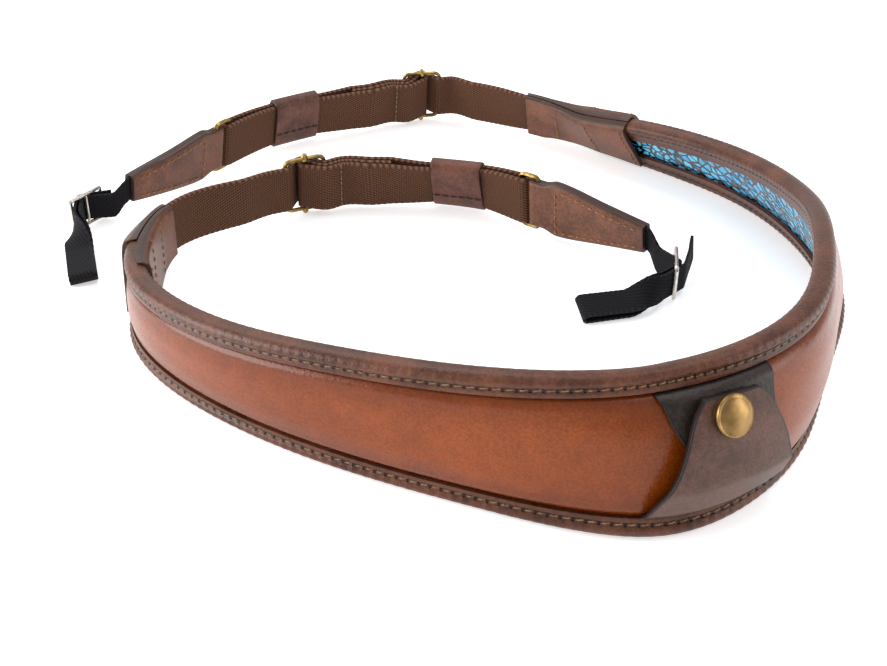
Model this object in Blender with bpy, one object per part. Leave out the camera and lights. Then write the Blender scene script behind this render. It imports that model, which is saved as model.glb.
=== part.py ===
"""Camera neck strap, standing on its edge in an open loop.

A curved leather neck pad carries a tail of brown webbing at each end. Each tail runs through a brass
slider and a leather keeper, round a brass ring and back, and ends in a leather tip with a narrow black
lug loop. All lengths are in metres, +Z is up and the strap stands on z = 0.

The strap is laid out along one route in plan, from the tip of the inner tail, round the pad, to the tip
of the outer tail. A place on it is (along, out, up): metres along the route, metres outwards through the
thickness, and metres up the leaning band from the table.
"""
import math

import bmesh
import bpy
import numpy as np
from mathutils import Vector

# Clearances
GAP = 0.0003
SHEET_GAP = 0.0005
LAYER_GAP = 0.0008

# Neck pad
PAD_LENGTH = 0.5184
PAD_WIDTH = 0.049
PAD_END_WIDTH = 0.028
PAD_CROWN = 0.0046
BORDER_WIDTH = 0.0062
INNER_BORDER_WIDTH = 0.0090
BORDER_LEATHER = 0.0013
BORDER_PUFF = 0.0006
STITCH_INSET = 0.0041
STITCH_DIP = 0.0004
PANEL_EDGE = 0.0012
LINING_LEATHER = 0.0010
LINING_BULGE = 0.0005

# End tabs, which join the webbing to the pad
TAB_OVERLAP = 0.024
TAB_MIDDLE = 0.022
TAB_WEBBING_END = 0.014
TAB_LEATHER = 0.0018
TAB_INSET = 0.0004
TAB_STEP = 0.005

# Brown webbing and what it runs through
WEBBING_WIDTH = 0.0190
WEBBING_THICKNESS = 0.0015
TIP_TO_TAB = 0.2095
SEWN_END = 0.035
KEEPER_LENGTH = 0.022
KEEPER_LEATHER = 0.0014
KEEPER_EASE = 0.0005
SLIDER_LENGTH = 0.0180
SLIDER_WIRE = 0.0017
SLIDER_SLACK = 0.0016
SLIDER_CORNER = 0.0034
SLIDER_REST = 0.0009
BAR_THICKNESS = 0.0018
KNOB_THICKNESS = 0.0030
KNOB_REACH = 0.0013
RING_LENGTH = 0.0096
RING_WIRE = 0.0018
RING_SLACK = 0.0010
RING_CORNER = 0.0025

# Leather tips
TIP_LENGTH = 0.047
TIP_WIDTH = 0.0224
TIP_END_WIDTH = 0.0112
TIP_LEATHER = 0.0015

# Black lug loops
LUG_WEBBING_WIDTH = 0.0100
LUG_WEBBING_THICKNESS = 0.0010
LUG_INSERT = 0.015
LUG_EXIT = 0.0020
LUG_LEAD = 0.0170
LUG_EYE = 0.0022
LUG_FLAT = 0.62
LUG_TAIL_RISE = 0.004
LUG_BUCKLE_WIRE = 0.0015
LUG_BUCKLE_SLACK = 0.0006
LUG_BUCKLE_CORNER = 0.0016

# Where the slider and the keeper are pushed to on each tail, from its tip
ADJUSTED = {
    "inner": {"keeper": 0.0735, "slider": 0.1480},
    "outer": {"keeper": 0.0812, "slider": 0.1555},
}

# Pocket on the pad's outer face
POCKET_PLACE = 0.3990
POCKET_LENGTH = 0.0450
POCKET_LEATHER = 0.0012
FLAP_LEATHER = 0.0018
SNAP_DIAMETER = 0.0134
SNAP_CAP_HEIGHT = 0.0024
SNAP_STUD_DIAMETER = 0.0100
SNAP_STUD_HEIGHT = 0.0016
SNAP_SEAT = 0.0011
SNAP_ALONG = 0.467
SNAP_UP = 0.78
SNAP_TEST = 0.002
FLAP_RISE = 0.27
POCKET_ROWS = 8
POCKET_COLUMNS = 6

# Sections per metre and per radian of bend
SECTION_PITCH = 0.0170
SECTION_TURN = math.radians(10.5)
TAIL_PITCH = 0.0055
LUG_PITCH = 0.0030
WRAP_TURN = math.radians(30.0)

# Derived sizes
HALF_OUTER = GAP + PANEL_EDGE + GAP + BORDER_LEATHER
HALF_INNER = LINING_LEATHER + GAP + BORDER_LEATHER
TAIL_LENGTH = TIP_TO_TAB + TAB_WEBBING_END + TAB_MIDDLE
STRAP_RUN = PAD_LENGTH + 2.0 * TAIL_LENGTH
WEBBING_FOOT = KNOB_REACH + SLIDER_WIRE + SLIDER_REST
TAIL_CENTRE = WEBBING_FOOT + WEBBING_WIDTH / 2.0

# Places along a tail, measured from its tip
RING_BAR_NEAR = TIP_LENGTH
RING_BAR_FAR = TIP_LENGTH + RING_LENGTH - RING_WIRE
TAB_START = TIP_TO_TAB
PAD_END = TAB_START + TAB_WEBBING_END + TAB_MIDDLE
TAB_END = PAD_END + TAB_OVERLAP
STIFF_REACH = SLIDER_LENGTH / 2.0 + WEBBING_THICKNESS
STIFF_BLEND = SLIDER_LENGTH
LEAN_BLEND = SLIDER_LENGTH * 2.2

# The route in plan: x and y in thousandths of the strap's run, and the lean of the band in degrees,
# its top edge towards the middle of the loop
ROUTE = (
    ("inner tip", 74.3, 2.3, 10),
    ("inner tip leather", 57.7, 16.2, 13),
    ("inner ring", 35.7, 30.2, 5),
    ("inner keeper", 9.8, 51.3, 21),
    ("inner webbing", -19.8, 52.7, 19),
    ("inner slider", -51.0, 48.7, 8),
    ("inner bend", -77.3, 31.3, 0),
    ("inner tab", -98.1, 11.7, 1),
    ("pad start", -103.0, -13.9, 2),
    ("left curl", -99.1, -49.5, 3),
    ("left front", -65.7, -89.6, -4),
    ("front, left of middle", -29.0, -112.8, -4),
    ("front middle", 9.6, -130.2, -1),
    ("front, right of middle", 37.0, -140.5, 8),
    ("nearest point", 57.5, -142.9, 15),
    ("pocket", 82.2, -129.7, 10),
    ("right front", 101.3, -106.1, 4),
    ("right", 117.9, -69.1, 6),
    ("right middle", 135.2, -26.8, 21),
    ("right back", 134.9, 19.3, 31),
    ("back curl", 119.8, 56.3, 35),
    ("pad end", 87.8, 92.2, 38),
    ("outer tab middle", 62.1, 114.0, 39),
    ("outer tab", 33.9, 125.2, 16),
    ("outer slider", -8.7, 141.9, 11),
    ("outer webbing", -36.6, 129.6, 15),
    ("outer keeper", -66.6, 115.5, 16),
    ("outer ring", -93.9, 84.6, 11),
    ("outer tip leather", -109.6, 63.6, 16),
    ("outer tip", -122.9, 43.0, 8),

)

# Pad width along its length: share of the length, share of the way from end width to full width
PAD_SWELL = (
    (0.00, 0.00),
    (0.05, 0.14),
    (0.12, 0.34),
    (0.20, 0.57),
    (0.30, 0.80),
    (0.40, 0.95),
    (0.50, 1.00),
    (0.60, 0.95),
    (0.70, 0.80),
    (0.80, 0.57),
    (0.88, 0.34),
    (0.95, 0.14),
    (1.00, 0.00),
)

# Panel crown between the borders: share of the open width, share of the crown's height
CROWN = (
    (0.00, 0.00),
    (0.03, 0.34),
    (0.11, 0.66),
    (0.27, 0.91),
    (0.50, 1.00),
    (0.73, 0.91),
    (0.89, 0.66),
    (0.97, 0.34),
    (1.00, 0.00),
)

# Leather tip: share of its length from the tip, share of the way from end width to full width
TIP_SWELL = (
    (0.00, 0.00),
    (0.50, 0.74),
    (0.78, 1.00),
    (0.90, 0.95),
    (1.00, 0.78),
)

# Lug loops: headings in degrees from the tail's own direction towards the loop's middle, the bend along
# the loop, the roll of its far end, its length and the length of the free end beyond the bar
LUG_SIDES = {
    "inner": {"lead": 17.0, "loop": 94.0, "curl": 30.0, "tail": -115.0, "roll": -72.0, "length": 0.039,
              "free": 0.018},
    "outer": {"lead": -39.0, "loop": 41.0, "curl": 8.0, "tail": 140.0, "roll": -84.0, "length": 0.047,
              "free": 0.010},
}

# Snap cap: share of its radius, share of its height
SNAP_PROFILE = (
    (0.94, 0.00),
    (1.00, 0.22),
    (0.97, 0.46),
    (0.84, 0.70),
    (0.60, 0.88),
    (0.30, 0.97),
    (0.08, 1.00),
)

# Pocket outlines: share of the open width from the lower border, then the left and right edges as
# shares of the pocket's length
UNDER_OUTLINE = (
    (0.30, 0.38, 0.86),
    (0.61, 0.22, 0.87),
    (0.79, 0.14, 0.88),
    (0.92, 0.09, 0.90),
    (1.00, 0.04, 0.92),
)
FLAP_OUTLINE = (
    (0.00, 0.00, 1.00),
    (0.11, 0.04, 0.95),
    (0.21, 0.08, 0.93),
    (0.36, 0.14, 0.89),
    (0.50, 0.18, 0.86),
    (0.64, 0.21, 0.82),
    (0.77, 0.24, 0.78),
    (0.88, 0.29, 0.74),
    (0.95, 0.34, 0.69),
)

MATERIALS = {
    "tan_leather": ((0.36, 0.10, 0.025), 0.42, 0.0),
    "brown_leather": ((0.085, 0.036, 0.024), 0.50, 0.0),
    "reptile_lining": ((0.02, 0.27, 0.42), 0.25, 0.0),
    "brown_webbing": ((0.06, 0.028, 0.018), 0.80, 0.0),
    "black_webbing": ((0.012, 0.011, 0.013), 0.85, 0.0),
    "antique_brass": ((0.36, 0.25, 0.09), 0.35, 1.0),
    "nickel": ((0.62, 0.58, 0.55), 0.25, 1.0),
}


def smooth_curve(rows, samples):
    """Natural cubic spline through the rows, spaced by their distance in the first two columns."""
    rows = np.array(rows, dtype=float)
    chord = np.linalg.norm(np.diff(rows[:, :2], axis=0), axis=1)
    knots = np.concatenate(([0.0], np.cumsum(chord)))
    count = len(rows)
    system = np.eye(count)
    target = np.zeros_like(rows)
    for i in range(1, count - 1):
        before = chord[i - 1]
        after = chord[i]
        system[i, i - 1:i + 2] = (before, 2.0 * (before + after), after)
        target[i] = 6.0 * ((rows[i + 1] - rows[i]) / after - (rows[i] - rows[i - 1]) / before)
    bend = np.linalg.solve(system, target)
    places = np.linspace(0.0, knots[-1], samples)
    span = np.clip(np.searchsorted(knots, places, side="right") - 1, 0, count - 2)
    length = chord[span][:, None]
    left = (knots[span + 1] - places)[:, None]
    right = (places - knots[span])[:, None]
    curve = (bend[span] * left ** 3 + bend[span + 1] * right ** 3) / (6.0 * length)
    curve += (rows[span] / length - bend[span] * length / 6.0) * left
    curve += (rows[span + 1] / length - bend[span + 1] * length / 6.0) * right
    return curve


def table(rows, place, column=1):
    """A value read from a short table by linear steps between its rows."""
    return float(np.interp(place, [row[0] for row in rows], [row[column] for row in rows]))


def ease(share):
    """Smooth step from 0 to 1."""
    share = np.clip(share, 0.0, 1.0)
    return share * share * (3.0 - 2.0 * share)


class Band:
    """The strap's route in plan, at its true length, with the lean of the band along it.

    The route runs straight at each of the stiff places, for half a slider's length either way.
    """

    def __init__(self, rows, run, stiff):
        curve = smooth_curve([row[1:] for row in rows], 2401)
        steps = np.linalg.norm(np.diff(curve[:, :2], axis=0), axis=1)
        arc = np.concatenate(([0.0], np.cumsum(steps)))
        scale = run / arc[-1]
        self.run = run
        self.arc = arc * scale
        self.plan = curve[:, :2] * scale
        self.lean = np.radians(curve[:, 2])
        for place in stiff:
            middle = int(np.searchsorted(self.arc, place))
            ahead = self.plan[middle + 1] - self.plan[middle - 1]
            ahead /= np.linalg.norm(ahead)
            away = self.arc - self.arc[middle]
            straight = self.plan[middle] + away[:, None] * ahead
            beyond = np.abs(away) - STIFF_REACH
            self.plan += (straight - self.plan) * (1.0 - ease(beyond / STIFF_BLEND))[:, None]
            self.lean += (self.lean[middle] - self.lean) * (1.0 - ease(beyond / LEAN_BLEND))
        slope = np.gradient(self.plan, self.arc, axis=0)
        self.heading = np.unwrap(np.arctan2(slope[:, 1], slope[:, 0]))

    def frame(self, along):
        """Foot of the band, then its directions along, out and up."""
        inside = min(max(along, 0.0), self.run)
        x = np.interp(inside, self.arc, self.plan[:, 0])
        y = np.interp(inside, self.arc, self.plan[:, 1])
        heading = float(np.interp(inside, self.arc, self.heading))
        lean = float(np.interp(inside, self.arc, self.lean))
        forward = Vector((math.cos(heading), math.sin(heading), 0.0))
        inward = Vector((-math.sin(heading), math.cos(heading), 0.0))
        upright = Vector((0.0, 0.0, 1.0))
        foot = Vector((x, y, 0.0)) + forward * (along - inside)
        foot.z = HALF_OUTER * (1.0 - math.cos(lean))
        up = upright * math.cos(lean) + inward * math.sin(lean)
        out = upright * math.sin(lean) - inward * math.cos(lean)
        return foot, forward, out, up

    def point(self, along, out_by, up_by):
        foot, _, out, up = self.frame(along)
        return foot + out * out_by + up * up_by

    def stations(self, start, end):
        """Places from start to end, closer together where the route bends."""
        fine = np.linspace(start, end, 400)
        turn = np.interp(np.clip(fine, 0.0, self.run), self.arc, self.heading)
        effort = (fine - start) / SECTION_PITCH
        effort[1:] += np.cumsum(np.abs(np.diff(turn))) / SECTION_TURN
        count = max(2, int(math.ceil(effort[-1])))
        return np.interp(np.linspace(0.0, effort[-1], count + 1), effort, fine)


PAD_START = TAIL_LENGTH
TAILS = {
    "inner": lambda along: along,
    "outer": lambda along: STRAP_RUN - along,
}
BAND = Band(ROUTE, STRAP_RUN, [TAILS[side](places["slider"]) for side, places in ADJUSTED.items()])


def clear_scene():
    for obj in list(bpy.data.objects):
        bpy.data.objects.remove(obj, do_unlink=True)


def make_materials():
    """One Principled material for each finish."""
    made = {}
    for name, (colour, roughness, metallic) in MATERIALS.items():
        material = bpy.data.materials.new(name)
        material.use_nodes = True
        shader = material.node_tree.nodes["Principled BSDF"]
        shader.inputs["Base Color"].default_value = (*colour, 1.0)
        shader.inputs["Roughness"].default_value = roughness
        shader.inputs["Metallic"].default_value = metallic
        made[name] = material
    return made


def add_object(name, bm, finish, round_edges=False):
    """Turn a bmesh into a named object with its faces pointing out."""
    bmesh.ops.recalc_face_normals(bm, faces=bm.faces)
    mesh = bpy.data.meshes.new(name)
    bm.to_mesh(mesh)
    bm.free()
    mesh.materials.append(FINISHES[finish].copy())
    obj = bpy.data.objects.new(name, mesh)
    bpy.context.scene.collection.objects.link(obj)
    if round_edges:
        mesh.shade_smooth()
        mesh.set_sharp_from_angle(angle=math.radians(40.0))
    return obj


def loft(bm, rings, closed=False):
    """Skin a row of rings; an open row gets flat ends, a closed one joins its last ring to its first."""
    verts = [[bm.verts.new(point) for point in ring] for ring in rings]
    pairs = list(zip(verts[:-1], verts[1:]))
    if closed:
        pairs.append((verts[-1], verts[0]))
    for first, second in pairs:
        for i in range(len(first)):
            j = (i + 1) % len(first)
            bm.faces.new((first[i], first[j], second[j], second[i]))
    if not closed:
        bm.faces.new(verts[0])
        bm.faces.new(reversed(verts[-1]))


def arc_points(centre, radius, start, end, steps):
    """Points on an arc, angles in degrees."""
    angles = np.radians(np.linspace(start, end, steps + 1))
    return [(centre[0] + radius * math.cos(a), centre[1] + radius * math.sin(a)) for a in angles]


def rounded_rectangle(length, height, corner, steps):
    """Outline centred on zero, as points with the direction that points away from the corner's centre."""
    points = []
    for quarter, (sx, sy) in enumerate(((1, 1), (-1, 1), (-1, -1), (1, -1))):
        centre = (sx * (length / 2.0 - corner), sy * (height / 2.0 - corner))
        for step in range(steps + 1):
            angle = math.radians(90.0 * (quarter + step / steps))
            direction = (math.cos(angle), math.sin(angle))
            point = (centre[0] + corner * direction[0], centre[1] + corner * direction[1])
            points.append((point, direction))
    return points


def wire_loop(bm, place, length, height, corner, wire, sides=8):
    """Round wire bent to a rounded rectangle; place maps (x, depth, y) to the model."""
    rings = []
    for (x, y), (dx, dy) in rounded_rectangle(length - wire, height - wire, corner - wire / 2.0, 3):
        ring = []
        for side in range(sides):
            angle = 2.0 * math.pi * side / sides
            away = wire / 2.0 * math.cos(angle)
            deep = wire / 2.0 * math.sin(angle)
            ring.append(place(x + away * dx, deep, y + away * dy))
        rings.append(ring)
    loft(bm, rings, closed=True)


def turned(bm, place, profile, sides):
    """Turn a profile of (radius, height) rows; place maps (x, y, height) to the model."""
    rings = []
    for radius, height in profile:
        ring = []
        for side in range(sides):
            angle = 2.0 * math.pi * side / sides
            ring.append(place(radius * math.cos(angle), radius * math.sin(angle), height))
        rings.append(ring)
    loft(bm, rings)


def fuse(target, others):
    """Join overlapping solids into the target."""
    for other in others:
        modifier = target.modifiers.new("fuse", "BOOLEAN")
        modifier.operation = "UNION"
        modifier.solver = "EXACT"
        modifier.object = other
        other.hide_render = True
        other.display_type = "WIRE"


# Neck pad


def pad_share(along):
    return (along - PAD_START) / PAD_LENGTH


def pad_width(along):
    share = min(max(pad_share(along), 0.0), 1.0)
    return PAD_END_WIDTH + (PAD_WIDTH - PAD_END_WIDTH) * smooth_table(PAD_SWELL, share)


def smooth_table(rows, place):
    """A value read from a table along a smooth curve through its rows."""
    curve = smooth_curve([(row[0], 0.0, row[1]) for row in rows], 401)
    return float(np.interp(place, curve[:, 0], curve[:, 2]))


def crown_height(along):
    """Crown at this section, lower where the pad is narrower."""
    return PAD_CROWN * (pad_width(along) - 2.0 * BORDER_WIDTH) / (PAD_WIDTH - 2.0 * BORDER_WIDTH)


def panel_face(along, up_by):
    """How far out the panel's face lies at a height on the pad."""
    foot = BORDER_WIDTH + GAP
    open_width = pad_width(along) - 2.0 * foot
    base = HALF_OUTER - BORDER_LEATHER - GAP
    return base + crown_height(along) * table(CROWN, (up_by - foot) / open_width)


def border_section():
    """Section of a folded binding as (out, inset from the pad's edge)."""
    outer = HALF_OUTER
    inner = -HALF_INNER
    wall = BORDER_LEATHER
    crest = (STITCH_INSET + wall) * 0.46
    return (
        (outer, BORDER_WIDTH),
        (outer, STITCH_INSET + STITCH_DIP * 2.0),
        (outer - STITCH_DIP, STITCH_INSET),
        (outer + BORDER_PUFF, crest),
        (outer - wall * 0.35, wall * 0.7),
        (0.0, 0.0),
        (inner + wall * 0.35, wall * 0.7),
        (inner - BORDER_PUFF / 2.0, crest),
        (inner, STITCH_INSET),
        (inner, INNER_BORDER_WIDTH),
        (inner + wall, INNER_BORDER_WIDTH),
        (inner + wall, wall * 1.6),
        (0.0, wall * 1.2),
        (outer - wall, wall * 1.6),
        (outer - wall, BORDER_WIDTH),
    )


def panel_section(along):
    """Padded panel, its edges tucked into the bindings."""
    width = pad_width(along)
    tuck = BORDER_LEATHER * 1.6 + GAP
    face = HALF_OUTER - BORDER_LEATHER - GAP
    foot = BORDER_WIDTH + GAP
    open_width = width - 2.0 * foot
    points = [(face, tuck)]
    for share, rise in CROWN:
        points.append((face + crown_height(along) * rise, foot + open_width * share))
    points.append((face, width - tuck))
    points.append((face - PANEL_EDGE, width - tuck))
    points.append((face - PANEL_EDGE, tuck))
    return points


def lining_section(along):
    """Lining sheet behind the panel, slightly full between the bindings."""
    width = pad_width(along)
    tuck = BORDER_LEATHER * 1.6 + GAP
    foot = INNER_BORDER_WIDTH + GAP
    open_width = width - 2.0 * foot
    face = -LINING_LEATHER
    return (
        (0.0, tuck),
        (face, tuck),
        (face, foot),
        (face - LINING_BULGE, foot + open_width * 0.25),
        (face - LINING_BULGE, foot + open_width * 0.75),
        (face, width - foot),
        (face, width - tuck),
        (0.0, width - tuck),
    )


def pad_piece(name, section, finish, round_edges=True):
    """Loft a section along the whole pad."""
    bm = bmesh.new()
    rings = []
    for along in BAND.stations(PAD_START, PAD_START + PAD_LENGTH):
        rings.append([BAND.point(along, out_by, up_by) for out_by, up_by in section(along)])
    loft(bm, rings)
    return add_object(name, bm, finish, round_edges)


def make_pad():
    pad_piece("pad_panel", panel_section, "tan_leather")
    pad_piece("pad_lining", lining_section, "reptile_lining")
    pad_piece("border_lower", lambda along: border_section(), "brown_leather")
    pad_piece(
        "border_upper",
        lambda along: [(out_by, pad_width(along) - inset) for out_by, inset in border_section()],
        "brown_leather",
    )


# Pocket


def smooth_outline(rows, place, column):
    """A value read from an outline along a smooth curve through its rows."""
    curve = smooth_curve([(row[0], 0.0, row[column]) for row in rows], 201)
    return float(np.interp(place, curve[:, 0], curve[:, 2]))


def grid_rim(grid):
    """The outer vertices of a grid, in order."""
    rim = list(grid[0])
    rim += [line[-1] for line in grid[1:]]
    rim += list(reversed(grid[-1][:-1]))
    rim += [line[0] for line in reversed(grid[1:-1])]
    return rim


def pocket_shares(outline):
    """Heights of the sheet's rows: those of the crown, with more between them for the outline."""
    low = outline[0][0]
    high = outline[-1][0]
    shares = [low, high]
    for share in [row[0] for row in CROWN] + [FLAP_RISE] + list(np.linspace(low, high, POCKET_ROWS + 1)):
        if all(abs(share - other) > 0.015 for other in shares) and low < share < high:
            shares.append(share)
    return sorted(shares)


def pocket_sheet(name, outline, leather, lift):
    """A leather sheet over the panel; lift gives its height off the panel at a share of the open width."""
    start = PAD_START + PAD_LENGTH * POCKET_PLACE
    foot = BORDER_WIDTH + GAP
    bm = bmesh.new()
    under = []
    over = []
    for share in pocket_shares(outline):
        left = start + POCKET_LENGTH * smooth_outline(outline, share, 1)
        right = start + POCKET_LENGTH * smooth_outline(outline, share, 2)
        low_line = []
        high_line = []
        for along in np.linspace(left, right, POCKET_COLUMNS + 1):
            up_by = foot + (pad_width(along) - 2.0 * foot) * share
            out_by = panel_face(along, up_by) + lift(share)
            low_line.append(bm.verts.new(BAND.point(along, out_by, up_by)))
            high_line.append(bm.verts.new(BAND.point(along, out_by + leather, up_by)))
        under.append(low_line)
        over.append(high_line)
    for grid, step in ((under, 1), (over, -1)):
        for low_line, high_line in zip(grid[:-1], grid[1:]):
            for column in range(POCKET_COLUMNS):
                corners = (low_line[column], low_line[column + 1], high_line[column + 1], high_line[column])
                bm.faces.new(corners[::step])
    rim_under = grid_rim(under)
    rim_over = grid_rim(over)
    for i in range(len(rim_under)):
        j = (i + 1) % len(rim_under)
        bm.faces.new((rim_under[i], rim_under[j], rim_over[j], rim_over[i]))
    return add_object(name, bm, "brown_leather")


def flap_lift(share):
    """The flap leaves the lower border on the panel and is held off the under leather by the snap."""
    held = POCKET_LEATHER + SHEET_GAP + SNAP_STUD_HEIGHT + GAP
    return SHEET_GAP + held * min(1.0, share / FLAP_RISE)


def make_pocket():
    pocket_sheet("pocket_under", UNDER_OUTLINE, POCKET_LEATHER, lambda share: SHEET_GAP)
    pocket_sheet("pocket_flap", FLAP_OUTLINE, FLAP_LEATHER, flap_lift)
    along = PAD_START + PAD_LENGTH * POCKET_PLACE + POCKET_LENGTH * SNAP_ALONG
    foot = BORDER_WIDTH + GAP
    up_by = foot + (pad_width(along) - 2.0 * foot) * SNAP_UP
    face = panel_face(along, up_by)
    slope = (panel_face(along, up_by + SNAP_TEST) - panel_face(along, up_by - SNAP_TEST)) / (2.0 * SNAP_TEST)
    tilt = math.atan(slope)
    _, forward, out, up = BAND.frame(along)
    axis = out * math.cos(tilt) - up * math.sin(tilt)
    rise = up * math.cos(tilt) + out * math.sin(tilt)
    seat = BAND.point(along, face, up_by)

    def place(x, y, height):
        return seat + forward * x + rise * y + axis * height

    stud_foot = SHEET_GAP + POCKET_LEATHER + SNAP_SEAT
    stud_top = stud_foot + SNAP_STUD_HEIGHT - SNAP_SEAT
    radius = SNAP_STUD_DIAMETER / 2.0
    bm = bmesh.new()
    turned(bm, place, ((radius, stud_foot), (radius, stud_top - GAP)), 16)
    add_object("snap_stud", bm, "antique_brass", True)
    cap_foot = SHEET_GAP + POCKET_LEATHER + SHEET_GAP + SNAP_STUD_HEIGHT + FLAP_LEATHER + SNAP_SEAT
    radius = SNAP_DIAMETER / 2.0
    bm = bmesh.new()
    profile = [(radius * width, cap_foot + SNAP_CAP_HEIGHT * height) for width, height in SNAP_PROFILE]
    turned(bm, place, profile, 24)
    add_object("snap_cap", bm, "antique_brass", True)


# Routes that wrap round bars


def between(last, point, pitch, axis):
    """Points between two ends of a straight run, on a grid along the axis that all runs share."""
    length = math.hypot(point[0] - last[0], point[1] - last[1])
    start = (last[0] * axis[0] + last[1] * axis[1]) / pitch
    end = (point[0] * axis[0] + point[1] * axis[1]) / pitch
    if abs(end - start) * pitch > length / 2.0:
        low = min(start, end) + 0.3
        high = max(start, end) - 0.3
        shares = [(k - start) / (end - start) for k in range(math.ceil(low), math.floor(high) + 1)]
        shares.sort()
    else:
        count = max(1, round(length / pitch))
        shares = [k / count for k in range(1, count)]
    return [(last[0] + (point[0] - last[0]) * t, last[1] + (point[1] - last[1]) * t) for t in shares]


def wrap_route(stops, pitch, axis=(1.0, 0.0)):
    """A taut route past a row of stops (x, y, radius).

    The radius is 0 for a point that the route passes through, above 0 for a round that it keeps on its
    left and below 0 for one that it keeps on its right.
    """
    headings = []
    for (x1, y1, r1), (x2, y2, r2) in zip(stops[:-1], stops[1:]):
        distance = math.hypot(x2 - x1, y2 - y1)
        headings.append(math.atan2(y2 - y1, x2 - x1) - math.asin((r2 - r1) / distance))
    points = []
    for i, (x, y, radius) in enumerate(stops):
        arrive = headings[max(i - 1, 0)]
        leave = headings[min(i, len(headings) - 1)]
        turn = math.remainder(leave - arrive, 2.0 * math.pi)
        if radius > 0.0 and turn < -0.01:
            turn += 2.0 * math.pi
        if radius < 0.0 and turn > 0.01:
            turn -= 2.0 * math.pi
        steps = max(1, int(math.ceil(abs(turn) / WRAP_TURN))) if radius else 0
        for step in range(steps + 1):
            heading = arrive + turn * (step / steps if steps else 0.0)
            point = (x + radius * math.sin(heading), y - radius * math.cos(heading))
            if points and step == 0:
                points += between(points[-1], point, pitch, axis)
            points.append(point)
    return points


def mitred(route, thickness):
    """Left and right sides of a band along a route, at its true thickness round the bends."""
    route = np.array(route)
    step = np.diff(route, axis=0)
    step /= np.linalg.norm(step, axis=1)[:, None]
    before = np.vstack((step[:1], step))
    after = np.vstack((step, step[-1:]))
    middle = before + after
    middle /= np.linalg.norm(middle, axis=1)[:, None]
    widen = 1.0 / np.sum(middle * after, axis=1)
    across = np.column_stack((-middle[:, 1], middle[:, 0])) * (widen * thickness / 2.0)[:, None]
    return route + across, route - across


# Tails


def tail_strip(name, side, route, thickness, edges, finish):
    """A flat band on one tail; edges gives its lower and upper edge at a distance from the tip."""
    locate = TAILS[side]
    left, right = mitred(route, thickness)
    bm = bmesh.new()
    rings = []
    for (along, _), first, second in zip(route, left, right):
        low, high = edges(along)
        corners = ((first, low), (first, high), (second, high), (second, low))
        rings.append([BAND.point(locate(place), out_by, up_by) for (place, out_by), up_by in corners])
    loft(bm, rings)
    return add_object(name, bm, finish)


def webbing_route(side):
    """From the sewn end, round the slider's bar, round the ring and back to the end tab."""
    layer = WEBBING_THICKNESS + LAYER_GAP
    over_bar = BAR_THICKNESS / 2.0 + GAP + WEBBING_THICKNESS / 2.0
    over_wire = SLIDER_WIRE / 2.0 + GAP + WEBBING_THICKNESS / 2.0
    over_ring = RING_WIRE / 2.0 + GAP + WEBBING_THICKNESS / 2.0
    reach = (SLIDER_LENGTH - SLIDER_WIRE) / 2.0
    slider = ADJUSTED[side]["slider"]
    keeper_start = ADJUSTED[side]["keeper"]
    keeper_end = keeper_start + KEEPER_LENGTH
    near = slider - reach
    far = slider + reach
    sewn = slider - SEWN_END
    stops = (
        (sewn, 0.0, 0.0),
        (near, 0.0, over_wire + layer),
        (slider, 0.0, -over_bar),
        (near, 0.0, -over_wire - 2.0 * layer),
        (sewn, -layer, 0.0),
        (keeper_end, -layer / 2.0, 0.0),
        (keeper_start, -layer / 2.0, 0.0),
        (RING_BAR_FAR, 0.0, -over_ring),
        (keeper_start, layer / 2.0, 0.0),
        (keeper_end, layer / 2.0, 0.0),
        (sewn, layer, 0.0),
        (near, 0.0, over_wire),
        (slider, 0.0, -over_bar - layer),
        (far, 0.0, over_wire),
        (TAB_START, 0.0, 0.0),
        (PAD_END - GAP, 0.0, 0.0),
    )
    return wrap_route(stops, TAIL_PITCH)


def make_webbing(side):
    low = TAIL_CENTRE - WEBBING_WIDTH / 2.0
    high = TAIL_CENTRE + WEBBING_WIDTH / 2.0
    tail_strip("webbing_" + side, side, webbing_route(side), WEBBING_THICKNESS,
               lambda along: (low, high), "brown_webbing")


def tip_edges(along):
    """Lower and upper edge of the leather tip."""
    share = min(max(along / TIP_LENGTH, 0.0), 1.0)
    width = TIP_END_WIDTH + (TIP_WIDTH - TIP_END_WIDTH) * smooth_table(TIP_SWELL, share)
    blend = min(max((share - 0.84) / 0.10, 0.0), 1.0)
    width += (WEBBING_WIDTH - width) * blend
    return TAIL_CENTRE - width / 2.0, TAIL_CENTRE + width / 2.0


def make_tip(side):
    """Leather folded round the ring's bar, its two sides closed on the black webbing."""
    beside = LUG_WEBBING_THICKNESS / 2.0 + GAP + TIP_LEATHER / 2.0
    over_ring = RING_WIRE / 2.0 + GAP + TIP_LEATHER / 2.0
    stops = (
        (0.0, beside, 0.0),
        (TIP_LENGTH * 0.88, beside, 0.0),
        (RING_BAR_NEAR, 0.0, -over_ring),
        (TIP_LENGTH * 0.88, -beside, 0.0),
        (0.0, -beside, 0.0),
    )
    tail_strip("tip_tab_" + side, side, wrap_route(stops, TAIL_PITCH), TIP_LEATHER,
               tip_edges, "brown_leather")


def make_ring(side):
    locate = TAILS[side]
    middle = (RING_BAR_NEAR + RING_BAR_FAR) / 2.0

    def place(x, deep, y):
        return BAND.point(locate(middle + x), deep, TAIL_CENTRE + y)

    bm = bmesh.new()
    wire_loop(bm, place, RING_LENGTH, WEBBING_WIDTH + RING_SLACK + 2.0 * RING_WIRE, RING_CORNER, RING_WIRE)
    add_object("ring_" + side, bm, "antique_brass", True)


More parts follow.
